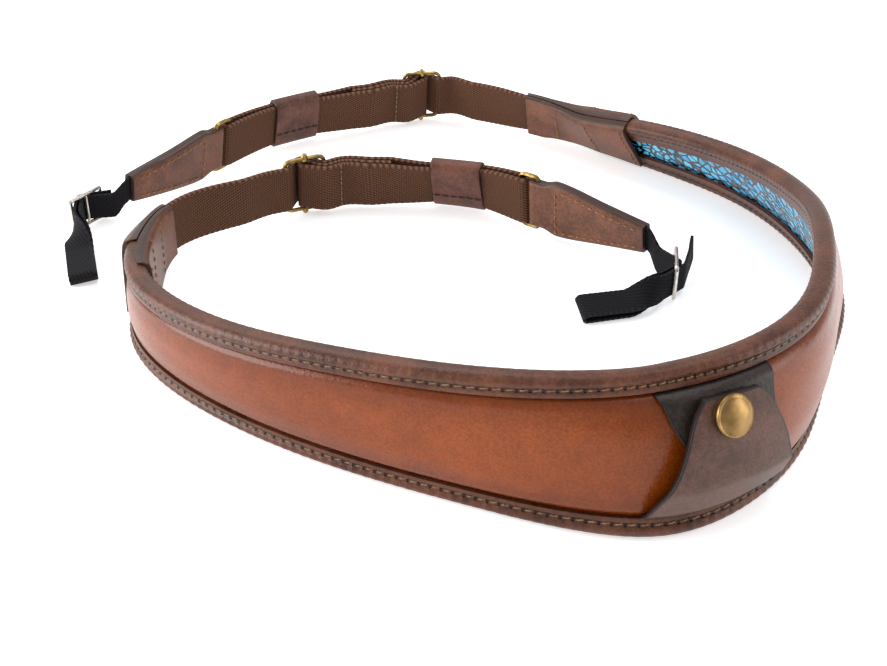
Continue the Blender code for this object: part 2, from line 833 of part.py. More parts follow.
def make_keeper(side):
    """A leather sleeve round both layers of webbing."""
    locate = TAILS[side]
    half_stack = WEBBING_THICKNESS + LAYER_GAP / 2.0 + KEEPER_EASE
    inner = (2.0 * half_stack, WEBBING_WIDTH + 2.0 * KEEPER_EASE)
    outer = (inner[0] + 2.0 * KEEPER_LEATHER, inner[1] + 2.0 * KEEPER_LEATHER)
    inside = rounded_rectangle(*inner, GAP, 1)
    outside = rounded_rectangle(*outer, KEEPER_LEATHER, 1)
    start = ADJUSTED[side]["keeper"]
    places = np.linspace(start, start + KEEPER_LENGTH, 5)
    bm = bmesh.new()
    rings = []
    for (near, _), (far, _) in zip(inside, outside):
        ring = [BAND.point(locate(along), near[0], TAIL_CENTRE + near[1]) for along in places]
        ring += [BAND.point(locate(along), far[0], TAIL_CENTRE + far[1]) for along in reversed(places)]
        rings.append(ring)
    loft(bm, rings, closed=True)
    add_object("keeper_" + side, bm, "brown_leather")


def make_slider(side):
    """Wire frame with a centre bar whose ball ends close round it, as one brass piece."""
    foot, forward, out, up = BAND.frame(TAILS[side](ADJUSTED[side]["slider"]))
    if side == "outer":
        forward = -forward
    height = WEBBING_WIDTH + SLIDER_SLACK + 2.0 * SLIDER_WIRE
    centre = foot + up * (KNOB_REACH + height / 2.0)

    def place(x, deep, y):
        return centre + forward * x + out * deep + up * y

    bm = bmesh.new()
    wire_loop(bm, place, SLIDER_LENGTH, height, SLIDER_CORNER, SLIDER_WIRE)
    frame = add_object("slider_" + side, bm, "antique_brass", True)
    end = height / 2.0
    bar = BAR_THICKNESS / 2.0
    knob = KNOB_THICKNESS / 2.0
    slot = end - SLIDER_WIRE
    profile = (
        (knob * 0.4, -end - KNOB_REACH),
        (knob * 0.75, -end - KNOB_REACH * 0.5),
        (knob, -end + SLIDER_WIRE * 0.3),
        (knob, -slot - SLIDER_WIRE * 0.2),
        (bar, -slot),
        (bar, slot),
        (knob, slot + SLIDER_WIRE * 0.2),
        (knob, end - SLIDER_WIRE * 0.3),
        (knob * 0.75, end + KNOB_REACH * 0.5),
        (knob * 0.4, end + KNOB_REACH),
    )
    bm = bmesh.new()
    turned(bm, lambda x, y, level: place(x, y, level), profile, 10)
    fuse(frame, [add_object("slider_bar_" + side, bm, "antique_brass", True)])


def make_end_tab(side):
    """The two leathers that hold the webbing's end and the pad's end between them."""
    beside = WEBBING_THICKNESS / 2.0 + GAP + TAB_LEATHER / 2.0
    over_outer = HALF_OUTER + BORDER_PUFF + GAP + TAB_LEATHER / 2.0
    over_inner = HALF_INNER + BORDER_PUFF / 2.0 + GAP + TAB_LEATHER / 2.0
    locate = TAILS[side]

    def edges(along):
        share = min(max((along - TAB_START) / (PAD_END - TAB_START), 0.0), 1.0)
        on_pad = pad_width(PAD_START + max(along - PAD_END, 0.0)) - 2.0 * TAB_INSET
        start = WEBBING_WIDTH + 2.0 * TAB_INSET
        width = start + (on_pad - start) * share
        centre = TAIL_CENTRE + (on_pad / 2.0 + TAB_INSET - TAIL_CENTRE) * share
        _, _, out, up = BAND.frame(locate(along))
        clear = max(0.0, out.z / up.z) * (over_inner + TAB_LEATHER)
        return max(centre - width / 2.0, clear), centre + width / 2.0

    for layer, sign, over in (("outer", 1.0, over_outer), ("inner", -1.0, over_inner)):
        stops = (
            (TAB_START, sign * beside, 0.0),
            (PAD_END - TAB_STEP, sign * beside, 0.0),
            (PAD_END, sign * over, 0.0),
            (TAB_END, sign * over, 0.0),
        )
        tail_strip("end_tab_" + layer + "_" + side, side, wrap_route(stops, TAIL_PITCH),
                   TAB_LEATHER, edges, "brown_leather")


# Lug loops


def make_lug(side):
    """Black webbing from the leather tip, round its buckle's bar, out to the loop's fold and back."""
    look = LUG_SIDES[side]
    foot, forward, out, up = BAND.frame(TAILS[side](0.0))
    onward = forward if side == "outer" else -forward
    inward = Vector((-out.x, -out.y, 0.0)).normalized()
    upright = Vector((0.0, 0.0, 1.0))
    wire = LUG_BUCKLE_WIRE
    thick = LUG_WEBBING_THICKNESS
    inner_wrap = wire / 2.0 + GAP + thick / 2.0
    outer_wrap = inner_wrap + thick + LAYER_GAP
    lead = math.radians(look["lead"])
    away = math.radians(look["loop"])
    tail = math.radians(look["tail"])
    curl = math.radians(look["curl"])
    length = look["length"]
    bar = (LUG_LEAD * math.cos(lead), LUG_LEAD * math.sin(lead))
    ahead = (math.cos(away), math.sin(away))
    beside = (math.sin(away), -math.cos(away))
    line = (inner_wrap + outer_wrap) / 2.0
    fold = (LUG_EYE + thick) / 2.0
    free_end = (
        bar[0] + look["free"] * math.cos(tail) - outer_wrap * math.sin(tail),
        bar[1] + look["free"] * math.sin(tail) + outer_wrap * math.cos(tail),
    )
    stops = (
        (-LUG_INSERT, 0.0, 0.0),
        (LUG_EXIT, 0.0, 0.0),
        (*bar, inner_wrap),
        (bar[0] + ahead[0] * length + beside[0] * line, bar[1] + ahead[1] * length + beside[1] * line, -fold),
        (*bar, -outer_wrap),
        (*free_end, 0.0),
    )
    route = wrap_route(stops, LUG_PITCH, ahead)
    left, right = mitred(route, thick)
    buckle_height = LUG_WEBBING_WIDTH + LUG_BUCKLE_SLACK + 2.0 * wire
    buckle_level = GAP + buckle_height / 2.0
    tip = foot + up * TAIL_CENTRE
    tip_level = tip.z
    spread = min(math.radians(row["loop"] - row["lead"]) / 2.0 for row in LUG_SIDES.values())
    spacing = (outer_wrap + thick / 2.0 + GAP + wire / 2.0) / math.sin(spread)
    held = spacing + wire
    flat_from = length * LUG_FLAT
    rings = []
    past_fold = False
    for point, first, second in zip(route, left, right):
        if point[0] < 0.0:
            along = TAILS[side](-point[0])
            low = TAIL_CENTRE - LUG_WEBBING_WIDTH / 2.0
            high = TAIL_CENTRE + LUG_WEBBING_WIDTH / 2.0
            rings.append([
                BAND.point(along, -corner, level)
                for corner, level in (
                    (first[1], low), (first[1], TAIL_CENTRE), (first[1], high),
                    (second[1], high), (second[1], TAIL_CENTRE), (second[1], low),
                )
            ])
            continue
        to_bar = (point[0] - bar[0], point[1] - bar[1])
        reached = to_bar[0] * ahead[0] + to_bar[1] * ahead[1]
        past_fold = past_fold or reached > length / 2.0
        distance = math.hypot(*to_bar)
        flat_part = float(ease((reached - held) / (flat_from - held)))
        roll = math.radians(look["roll"]) * flat_part
        sag = LUG_WEBBING_WIDTH / 2.0 * math.cos(roll) + (fold + thick / 2.0) * abs(math.sin(roll)) + GAP
        swing = curl * min(max(reached - held, 0.0) / (flat_from - held), 1.0)
        bend = (flat_from - held) / curl
        beyond = max(reached - flat_from, 0.0)
        bowed = (
            bar[0] + ahead[0] * min(reached, held) + bend * (math.sin(away + swing) - math.sin(away))
            + beyond * math.cos(away + swing),
            bar[1] + ahead[1] * min(reached, held) - bend * (math.cos(away + swing) - math.cos(away))
            + beyond * math.sin(away + swing),
        )
        lateral = onward * math.sin(away + swing) - inward * math.cos(away + swing)
        free = float(ease((distance - held) / (LUG_LEAD - held)))
        width_way = (upright + (up - upright) * free).normalized()
        if reached > 0.0:
            level = buckle_level + (sag - buckle_level) * flat_part
            width_way = upright
        elif past_fold:
            level = buckle_level + LUG_TAIL_RISE * float(ease((distance - held) / look["free"]))
        else:
            level = buckle_level + (tip_level - buckle_level) * free
        width_way = width_way * math.cos(roll) + lateral * math.sin(roll)
        thick_way = lateral * math.cos(roll) - upright * math.sin(roll)
        ring = []
        for corner, sign in ((first, -1), (first, 0), (first, 1), (second, 1), (second, 0), (second, -1)):
            spot = tip + onward * corner[0] + inward * corner[1]
            if reached > 0.0:
                to_corner = (corner[0] - bar[0], corner[1] - bar[1])
                aside = to_corner[0] * beside[0] + to_corner[1] * beside[1]
                extra = to_corner[0] * ahead[0] + to_corner[1] * ahead[1] - reached
                spot = tip + onward * bowed[0] + inward * bowed[1] + lateral * line + thick_way * (aside - line)
                spot += (inward * math.sin(away + swing) + onward * math.cos(away + swing)) * extra
            spot.z += level - tip_level
            ring.append(spot + width_way * (sign * LUG_WEBBING_WIDTH / 2.0))
        rings.append(ring)
    bm = bmesh.new()
    loft(bm, rings)
    add_object("lug_webbing_" + side, bm, "black_webbing")

    plane = (lead + away) / 2.0
    middle = tip + onward * bar[0] + inward * bar[1]
    middle.z = buckle_level
    flat = onward * math.cos(plane) + inward * math.sin(plane)
    thin = onward * -math.sin(plane) + inward * math.cos(plane)

    def place(x, deep, y):
        return middle + flat * x + thin * deep + upright * y

    bm = bmesh.new()
    wire_loop(bm, place, 2.0 * spacing + wire, buckle_height, LUG_BUCKLE_CORNER, wire)
    frame = add_object("lug_buckle_" + side, bm, "nickel", True)
    bm = bmesh.new()
    end = buckle_height / 2.0 - wire * 0.4
    bar_radius = wire * 0.42
    turned(bm, lambda x, y, level: place(x, y, level), ((bar_radius, -end), (bar_radius, end)), 6)
    fuse(frame, [add_object("lug_bar_" + side, bm, "nickel", True)])


def rest_on_origin():
    """Put the model's box centre over the origin and its lowest point on the ground."""
    bpy.context.view_layer.update()
    solids = [obj for obj in bpy.data.objects if obj.type == "MESH" and not obj.hide_render]
    corners = np.array([vert.co[:] for obj in solids for vert in obj.data.vertices])
    low = corners.min(axis=0)
    high = corners.max(axis=0)
    offset = Vector((-(low[0] + high[0]) / 2.0, -(low[1] + high[1]) / 2.0, -low[2]))
    for obj in bpy.data.objects:
        obj.location = offset


clear_scene()
FINISHES = make_materials()
make_pad()
make_pocket()
for SIDE in TAILS:
    make_webbing(SIDE)
    make_tip(SIDE)
    make_ring(SIDE)
    make_keeper(SIDE)
    make_slider(SIDE)
    make_end_tab(SIDE)
    make_lug(SIDE)
rest_on_origin()
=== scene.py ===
# %% [markdown]
# # A camera neck strap, standing in an open loop
# The strap is a padded leather neck pad with a tail of webbing at each end. It stands on its edge on a
# white table, so every piece follows one winding route. The solids already have the right size and place.
# This notebook dresses them: each leather, webbing and lining is modelled again in fine mesh along the
# same route. So is the snap's cap, for its rolled rim. The sliders, rings, lug buckles and the snap's stud
# keep their solids and get a metal that has been handled.

# %% Load the frame
import math

import bmesh
import bpy
import numpy as np
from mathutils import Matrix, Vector


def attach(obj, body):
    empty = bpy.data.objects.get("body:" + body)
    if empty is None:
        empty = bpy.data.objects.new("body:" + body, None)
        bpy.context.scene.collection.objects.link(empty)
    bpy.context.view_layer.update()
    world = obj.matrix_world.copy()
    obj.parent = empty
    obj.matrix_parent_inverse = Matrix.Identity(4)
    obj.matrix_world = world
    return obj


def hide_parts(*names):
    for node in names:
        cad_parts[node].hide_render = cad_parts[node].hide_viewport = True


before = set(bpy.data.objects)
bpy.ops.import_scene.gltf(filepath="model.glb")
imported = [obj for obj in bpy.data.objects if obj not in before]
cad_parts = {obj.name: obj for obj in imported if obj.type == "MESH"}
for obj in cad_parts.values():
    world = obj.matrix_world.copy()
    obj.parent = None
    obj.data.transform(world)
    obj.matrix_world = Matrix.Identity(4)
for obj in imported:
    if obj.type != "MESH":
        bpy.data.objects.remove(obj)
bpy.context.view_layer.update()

print("pieces in the frame:", len(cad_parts))

# %% [markdown]
# ## One route for the whole strap
# A strap is easiest to model flat and then bend. A place on it is three lengths: along the route, out
# through its thickness, and up from the table. The route is a smooth curve through named places, seen from
# above, and the band leans a little at each of them. The same named sizes were used for the solids.

# %% Sizes in metres that set the route
GAP = 0.0003
PANEL_EDGE = 0.0012
BORDER_LEATHER = 0.0013
LINING_LEATHER = 0.0010
HALF_OUTER = GAP + PANEL_EDGE + GAP + BORDER_LEATHER
HALF_INNER = LINING_LEATHER + GAP + BORDER_LEATHER
PAD_LENGTH = 0.5184
TIP_TO_TAB = 0.2095
TAB_WEBBING_END = 0.014
TAB_MIDDLE = 0.022
TAIL_LENGTH = TIP_TO_TAB + TAB_WEBBING_END + TAB_MIDDLE
STRAP_RUN = PAD_LENGTH + 2.0 * TAIL_LENGTH
print("strap", round(STRAP_RUN, 3), "m long, pad", PAD_LENGTH, "m")

# %% Straight stretches at the sliders
# The webbing lies straight in each slider, and eases into the route's own bends on both sides of it
SLIDER_LENGTH = 0.0180
WEBBING_THICKNESS = 0.0015
STIFF_REACH = SLIDER_LENGTH / 2.0 + WEBBING_THICKNESS
STIFF_BLEND = SLIDER_LENGTH
LEAN_BLEND = SLIDER_LENGTH * 2.2
ADJUSTED = {
    "inner": {"keeper": 0.0735, "slider": 0.1480},
    "outer": {"keeper": 0.0812, "slider": 0.1555},
}
# The solids were moved so that their box stands over the origin
STANDS_AT = np.array((0.001079, 0.002134, 0.0))
print("sliders sit", [places["slider"] for places in ADJUSTED.values()], "m from their tips")

# %% Places on the route
# x and y in thousandths of the strap's run, then the lean in degrees, the top towards the loop's middle
ROUTE = (
    ("inner tip", 74.3, 2.3, 10),
    ("inner tip leather", 57.7, 16.2, 13),
    ("inner ring", 35.7, 30.2, 5),
    ("inner keeper", 9.8, 51.3, 21),
    ("inner webbing", -19.8, 52.7, 19),
    ("inner slider", -51.0, 48.7, 8),
    ("inner bend", -77.3, 31.3, 0),
    ("inner tab", -98.1, 11.7, 1),
    ("pad start", -103.0, -13.9, 2),
    ("left curl", -99.1, -49.5, 3),
    ("left front", -65.7, -89.6, -4),
    ("front, left of middle", -29.0, -112.8, -4),
    ("front middle", 9.6, -130.2, -1),
    ("front, right of middle", 37.0, -140.5, 8),
    ("nearest point", 57.5, -142.9, 15),
    ("pocket", 82.2, -129.7, 10),
    ("right front", 101.3, -106.1, 4),
    ("right", 117.9, -69.1, 6),
    ("right middle", 135.2, -26.8, 21),
    ("right back", 134.9, 19.3, 31),
    ("back curl", 119.8, 56.3, 35),
    ("pad end", 87.8, 92.2, 38),
    ("outer tab middle", 62.1, 114.0, 39),
    ("outer tab", 33.9, 125.2, 16),
    ("outer slider", -8.7, 141.9, 11),
    ("outer webbing", -36.6, 129.6, 15),
    ("outer keeper", -66.6, 115.5, 16),
    ("outer ring", -93.9, 84.6, 11),
    ("outer tip leather", -109.6, 63.6, 16),
    ("outer tip", -122.9, 43.0, 8),
)
print("the route has", len(ROUTE), "named places")

# %% A smooth curve through a few rows
def smooth_curve(rows, samples):
    """Natural cubic spline through the rows, spaced by their distance in the first two columns."""
    rows = np.array(rows, dtype=float)
    chord = np.linalg.norm(np.diff(rows[:, :2], axis=0), axis=1)
    knots = np.concatenate(([0.0], np.cumsum(chord)))
    count = len(rows)
    system = np.eye(count)
    target = np.zeros_like(rows)
    for i in range(1, count - 1):
        before = chord[i - 1]
        after = chord[i]
        system[i, i - 1:i + 2] = (before, 2.0 * (before + after), after)
        target[i] = 6.0 * ((rows[i + 1] - rows[i]) / after - (rows[i] - rows[i - 1]) / before)
    bend = np.linalg.solve(system, target)
    places = np.linspace(0.0, knots[-1], samples)
    span = np.clip(np.searchsorted(knots, places, side="right") - 1, 0, count - 2)
    length = chord[span][:, None]
    left = (knots[span + 1] - places)[:, None]
    right = (places - knots[span])[:, None]
    curve = (bend[span] * left ** 3 + bend[span + 1] * right ** 3) / (6.0 * length)
    curve += (rows[span] / length - bend[span] * length / 6.0) * left
    curve += (rows[span + 1] / length - bend[span + 1] * length / 6.0) * right
    return curve


def ease(share):
    """Smooth step from 0 to 1."""
    share = np.clip(share, 0.0, 1.0)
    return share * share * (3.0 - 2.0 * share)


SMOOTHED = smooth_curve([row[1:] for row in ROUTE], 2401)
print("the route's", len(ROUTE), "places become", len(SMOOTHED), "points")

# %% Bend flat lengths onto the route
class Band:
    """The route at its true length, with the direction and the lean of the band along it."""

    def __init__(self, curve, run, stiff):
        steps = np.linalg.norm(np.diff(curve[:, :2], axis=0), axis=1)
        arc = np.concatenate(([0.0], np.cumsum(steps)))
        scale = run / arc[-1]
        self.run = run
        self.arc = arc * scale
        self.plan = curve[:, :2] * scale
        self.lean = np.radians(curve[:, 2])
        for place in stiff:
            middle = int(np.searchsorted(self.arc, place))
            ahead = self.plan[middle + 1] - self.plan[middle - 1]
            ahead /= np.linalg.norm(ahead)
            away = self.arc - self.arc[middle]
            straight = self.plan[middle] + away[:, None] * ahead
            beyond = np.abs(away) - STIFF_REACH
            self.plan += (straight - self.plan) * (1.0 - ease(beyond / STIFF_BLEND))[:, None]
            self.lean += (self.lean[middle] - self.lean) * (1.0 - ease(beyond / LEAN_BLEND))
        slope = np.gradient(self.plan, self.arc, axis=0)
        self.heading = np.unwrap(np.arctan2(slope[:, 1], slope[:, 0]))

    def frame(self, along):
        """Foot of the band, then its directions along, out and up, for an array of places."""
        inside = np.clip(along, 0.0, self.run)
        x = np.interp(inside, self.arc, self.plan[:, 0])
        y = np.interp(inside, self.arc, self.plan[:, 1])
        heading = np.interp(inside, self.arc, self.heading)
        lean = np.interp(inside, self.arc, self.lean)
        level = np.zeros_like(x)
        forward = np.stack((np.cos(heading), np.sin(heading), level), -1)
        inward = np.stack((-np.sin(heading), np.cos(heading), level), -1)
        upright = np.stack((level, level, level + 1.0), -1)
        foot = np.stack((x, y, HALF_OUTER * (1.0 - np.cos(lean))), -1)
        foot = foot + forward * (along - inside)[..., None] + STANDS_AT
        up = upright * np.cos(lean)[..., None] + inward * np.sin(lean)[..., None]
        out = upright * np.sin(lean)[..., None] - inward * np.cos(lean)[..., None]
        return foot, forward, out, up

    def point(self, along, out_by, up_by):
        """Points in the scene from lengths along, out and up."""
        along, out_by, up_by = np.broadcast_arrays(along, out_by, up_by)
        foot, _, out, up = self.frame(along)
        return foot + out * out_by[..., None] + up * up_by[..., None]


TAILS = {
    "inner": lambda along: along,
    "outer": lambda along: STRAP_RUN - along,
}
SLIDERS = [TAILS[side](places["slider"]) for side, places in ADJUSTED.items()]
BAND = Band(SMOOTHED, STRAP_RUN, SLIDERS)
print("route laid out, straight at", [round(place, 4) for place in SLIDERS], "m")

# %% [markdown]
# ## Meshes that know where they are
# Leather, weave and stitches all follow the strap, not the table. So each mesh stores, at every vertex, how
# far along and how far across the strap it lies and how far in from an edge, in millimetres, and whether it
# is on a cut rim. The materials read those numbers.

# %% Pieces from grids of points
MM = 1000.0


def add_piece(name, points, faces, material, lengths, nodes, bevel=0.0):
    """A smooth closed piece, with its lengths stored at the vertices, that stands for the named nodes."""
    mesh = bpy.data.meshes.new(name)
    mesh.from_pydata([tuple(point) for point in points], [], [tuple(face) for face in faces])
    bm = bmesh.new()
    bm.from_mesh(mesh)
    bmesh.ops.recalc_face_normals(bm, faces=bm.faces)
    bm.to_mesh(mesh)
    bm.free()
    mesh.shade_smooth()
    mesh.set_sharp_from_angle(angle=math.radians(50.0))
    for key, values in lengths.items():
        layer = mesh.attributes.new(key, "FLOAT", "POINT")
        layer.data.foreach_set("value", np.asarray(values, dtype=np.float32).ravel())
    mesh.materials.append(material)
    piece = bpy.data.objects.new(name, mesh)
    bpy.context.collection.objects.link(piece)
    if bevel:
        rounding = piece.modifiers.new("rounded edges", "BEVEL")
        rounding.width = bevel
        rounding.segments = 2
        rounding.limit_method = "ANGLE"
        rounding.angle_limit = math.radians(50.0)
    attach(piece, "root")
    if nodes:
        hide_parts(*nodes)
    return piece


def tube_faces(count, around, closed=False):
    """Quads between rings of points, with a lid on each end unless the tube closes on itself."""
    faces = []
    for ring in range(count if closed else count - 1):
        after = (ring + 1) % count
        for i in range(around):
            j = (i + 1) % around
            faces.append((ring * around + i, ring * around + j, after * around + j, after * around + i))
    if not closed:
        faces.append(tuple(range(around)))
        faces.append(tuple(range((count - 1) * around, count * around)))
    return faces


def tape_faces(count, columns):
    """Quads round a band whose rings run across its front and back over its back, with lids of quads."""
    around = 2 * columns
    faces = tube_faces(count, around)[:-2]
    for base in (0, (count - 1) * around):
        for i in range(columns - 1):
            j = around - 1 - i
            faces.append((base + i, base + i + 1, base + j - 1, base + j))
    return faces


print("grids of points become pieces")

# %% Sizes that the finishes follow
STITCH_INSET = 0.0041
WEBBING_WIDTH = 0.0190
LUG_WEBBING_WIDTH = 0.0100
print("webbings", WEBBING_WIDTH * MM, "and", LUG_WEBBING_WIDTH * MM, "mm wide")

# %% [markdown]
# ## Materials
# Everything soft here is leather or woven tape, and both get their look from height as much as colour. Each
# material is built from a few nodes: two sizes of mottling, a grain or weave that lifts the surface, and a
# darker rim where the cut edge was painted. One small function adds a node, whatever its kind.

# %% Colours and nodes
def linear(code):
    """Turn an sRGB hex colour into the linear values that a shader takes."""
    parts = [int(code[i:i + 2], 16) / 255.0 for i in (1, 3, 5)]
    return tuple(p / 12.92 if p <= 0.04045 else ((p + 0.055) / 1.055) ** 2.4 for p in parts) + (1.0,)


def add_node(tree, kind, inputs, output=0, **settings):
    """Add a node, set its fields, fill or link its inputs, and give back one of its outputs."""
    made = tree.nodes.new(kind)
    for key, value in settings.items():
        setattr(made, key, value)
    for key, value in inputs.items():
        if isinstance(value, bpy.types.NodeSocket):
            tree.links.new(value, made.inputs[key])
        else:
            made.inputs[key].default_value = value
    return made.outputs[output]


def new_material(name, **sockets):
    """A Principled material; sockets that are the same all over are set on the shader."""
    material = bpy.data.materials.new(name)
    material.use_nodes = True
    tree = material.node_tree
    shader = tree.nodes["Principled BSDF"]
    for key, value in sockets.items():
        shader.inputs[key.replace("_", " ")].default_value = value
    return material, tree, shader


def finish_surface(tree, shader, colour, height, relief):
    """Link a colour, and a height that lifts the surface by up to the relief in metres."""
    bump = add_node(tree, "ShaderNodeBump", {"Height": height, "Distance": relief}, "Normal")
    tree.links.new(colour, shader.inputs["Base Color"])
    tree.links.new(bump, shader.inputs["Normal"])


def surface_noise(tree, size, detail=3.0):
    """Noise whose lumps are about that many metres across, held by the object itself."""
    where = add_node(tree, "ShaderNodeTexCoord", {}, "Object")
    lumps = {"Vector": where, "Scale": 1.0 / size, "Detail": detail}
    return add_node(tree, "ShaderNodeTexNoise", lumps, "Fac")


print("colours are written as sRGB hex")

# %% [markdown]
# Tanned leather is skin: a soft mottle from the dye, and a grain of pores and creases. Pull-up leather, on
# the tabs and tips, is waxed, so it goes pale where it has been bent. The binding is pressed with a coarse
# pebble. One recipe covers all of them, from the size of the grain and the depth of the mottle. Leather
# reflects little light at its face, so its specular level is below the usual 0.5.
# Real pores are 0.1 to 0.3 mm across, too fine to show here, so they are drawn 0.7 to 0.9 mm across.

# %% Leather recipe
FLECK_SHARE = 0.35
PORE_DEPTH = 0.7
HOLE_DEPTH = 2.5


def stitch_holes(tree, pitch, line, reach):
    """1 in a hole and 0 elsewhere, with a hole at each stitch on a line beside the edge; all in mm."""
    along = add_node(tree, "ShaderNodeAttribute", {}, "Fac", attribute_name="along_mm")
    inset = add_node(tree, "ShaderNodeAttribute", {}, "Fac", attribute_name="inset_mm")
    beat = add_node(tree, "ShaderNodeMath", {0: along, 1: pitch / 2.0}, operation="PINGPONG")
    aside = add_node(tree, "ShaderNodeMath", {0: inset, 1: line}, operation="SUBTRACT")
    aside = add_node(tree, "ShaderNodeMath", {0: aside}, operation="ABSOLUTE")
    in_length = add_node(tree, "ShaderNodeMapRange", {0: beat, 1: reach, 2: reach * 0.55})
    in_width = add_node(tree, "ShaderNodeMapRange", {0: aside, 1: 0.60, 2: 0.35})
    return add_node(tree, "ShaderNodeMath", {0: in_length, 1: in_width}, operation="MULTIPLY")


def make_leather(name, pale, deep, grain, relief, roughness, mottle, blend=0.12, rim=None, holes=None,
                 painted_shade=None):
    """Leather from two dye colours, the grain and mottle in metres, colours for its cut edges, and a colour
    for painted shade near its long edges.
    """
    material, tree, shader = new_material(name, Roughness=roughness, IOR=1.5, Specular_IOR_Level=0.3)
    cloud = surface_noise(tree, mottle)
    fleck = surface_noise(tree, mottle / 7.0, 4.0)
    both = add_node(tree, "ShaderNodeMix", {0: FLECK_SHARE, 2: cloud, 3: fleck})
    dye = add_node(tree, "ShaderNodeMapRange", {0: both, 1: 0.5 - blend, 2: 0.5 + blend})
    colour = add_node(tree, "ShaderNodeMix", {0: dye, 6: linear(deep), 7: linear(pale)}, 2, data_type="RGBA")
    where = add_node(tree, "ShaderNodeTexCoord", {}, "Object")
    pebble = add_node(tree, "ShaderNodeTexVoronoi", {"Vector": where, "Scale": 1.0 / grain}, "Distance")
    crease = surface_noise(tree, grain * 1.7, 4.0)
    height = add_node(tree, "ShaderNodeMath", {0: pebble, 1: -PORE_DEPTH, 2: crease},
                      operation="MULTIPLY_ADD")
    pore = add_node(tree, "ShaderNodeMapRange", {0: pebble, 1: 0.15, 2: 0.75, 3: 1.0, 4: 0.72})
    shade = add_node(tree, "ShaderNodeCombineColor", {0: pore, 1: pore, 2: pore})
    colour = add_node(tree, "ShaderNodeMix", {0: 1.0, 6: colour, 7: shade}, 2, data_type="RGBA",
                      blend_type="MULTIPLY")
    if holes:
        hole = stitch_holes(tree, *holes)
        colour = add_node(tree, "ShaderNodeMix", {0: hole, 6: colour, 7: linear("#170D0A")}, 2,
                          data_type="RGBA")
        height = add_node(tree, "ShaderNodeMath", {0: hole, 1: -HOLE_DEPTH, 2: height},
                          operation="MULTIPLY_ADD")
    # Painted shade: the leather darkens within 6.5 to 15 mm of its edges, standing in for the shade where the
    # pad's crown turns away from the light
    if painted_shade:
        inset = add_node(tree, "ShaderNodeAttribute", {}, "Fac", attribute_name="inset_mm")
        near = add_node(tree, "ShaderNodeMapRange", {0: inset, 1: 6.5, 2: 15.0, 3: 0.55, 4: 0.0})
        colour = add_node(tree, "ShaderNodeMix", {0: near, 6: colour, 7: linear(painted_shade)}, 2,
                          data_type="RGBA")
    if rim:
        edge = add_node(tree, "ShaderNodeAttribute", {}, "Fac", attribute_name="rim")
        painted = add_node(tree, "ShaderNodeMapRange", {0: edge, 1: 0.35, 2: 0.75})
        colour = add_node(tree, "ShaderNodeMix", {0: painted, 6: colour, 7: linear(rim)}, 2, data_type="RGBA")
    worn = {0: both, 1: 0.3, 2: 0.7, 3: roughness - 0.07, 4: roughness + 0.10}
    worn = add_node(tree, "ShaderNodeMapRange", worn)
    tree.links.new(worn, shader.inputs["Roughness"])
    finish_surface(tree, shader, colour, height, relief)
    return material


print("leather is a mottle, a grain and an edge")

# %% Six leathers
STITCH_PITCH = 3.4
# The panel's darker colour near both bindings is painted shade, for the crown falling away from the light
TAN_LEATHER = make_leather("aniline tan leather", "#99470F", "#6C2D04", 0.0008, 0.00006, 0.24, 0.045,
                           blend=0.24, painted_shade="#4A1C06")
BINDING_LEATHER = make_leather("pebbled brown leather", "#6B3E2B", "#482617", 0.0007, 0.00010, 0.36, 0.012,
                               holes=(STITCH_PITCH, STITCH_INSET * MM, 0.60))
PULL_UP_LEATHER = make_leather("waxed brown leather", "#7A4B35", "#542F1E", 0.0009, 0.00007, 0.42, 0.009,
                               rim="#3C261E")
KEEPER_LEATHER_FINISH = make_leather("oiled brown leather", "#704435", "#49271D", 0.0009, 0.00006, 0.42,
                                     0.010, rim="#2C1914")
FLAP_LEATHER_FINISH = make_leather("smooth dusty leather", "#694B40", "#4E342A", 0.0007, 0.00005, 0.44, 0.014,
                                   rim="#1C1210")
UNDER_LEATHER_FINISH = make_leather("blackened brown leather", "#3B302B", "#211815", 0.0008, 0.00008, 0.36,
                                    0.010, rim="#120D0C")
print("six leathers, stitched every", STITCH_PITCH, "mm")

# %% [markdown]
# The side that lies on the neck is calf printed with a reptile pattern: raised glossy blue scales between
# sunk black lines. Scales are the cells of a Voronoi pattern, here about 4 mm long, and the distance to the
# nearest cell edge gives both the black lines and the height of each scale.

# %% Printed lining
SCALE_WIDTH = 0.0040


def make_lining(name):
    """Blue scales with a little wander in their edges, between lines that are wider in patches."""
    material, tree, shader = new_material(name, Roughness=0.16, IOR=1.5)
    where = add_node(tree, "ShaderNodeTexCoord", {}, "Object")
    wander = surface_noise(tree, SCALE_WIDTH * 2.5)
    push = add_node(tree, "ShaderNodeVectorMath", {0: (SCALE_WIDTH,) * 3, "Scale": wander}, operation="SCALE")
    moved = add_node(tree, "ShaderNodeVectorMath", {0: where, 1: push}, operation="ADD")
    cells = {"Vector": moved, "Scale": 1.0 / SCALE_WIDTH}
    edge = add_node(tree, "ShaderNodeTexVoronoi", cells, "Distance", feature="DISTANCE_TO_EDGE")
    tint = add_node(tree, "ShaderNodeTexVoronoi", cells, "Color")
    tint = add_node(tree, "ShaderNodeSeparateColor", {0: tint})
    scale = add_node(tree, "ShaderNodeMix", {0: tint, 6: linear("#1F86B8"), 7: linear("#58C0E6")}, 2,
                     data_type="RGBA")
    patch = surface_noise(tree, 0.007)
    line = add_node(tree, "ShaderNodeMath", {0: patch, 1: -0.16, 2: edge}, operation="MULTIPLY_ADD")
    line = add_node(tree, "ShaderNodeMapRange", {0: line, 1: -0.01, 2: 0.075})
    colour = add_node(tree, "ShaderNodeMix", {0: line, 6: linear("#080F14"), 7: scale}, 2, data_type="RGBA")
    height = add_node(tree, "ShaderNodeMapRange", {0: edge, 1: 0.0, 2: 0.35})
    finish_surface(tree, shader, colour, height, 0.00022)
    return material


PRINTED_LINING = make_lining("printed calf lining")
print("scales are", SCALE_WIDTH * MM, "mm wide")

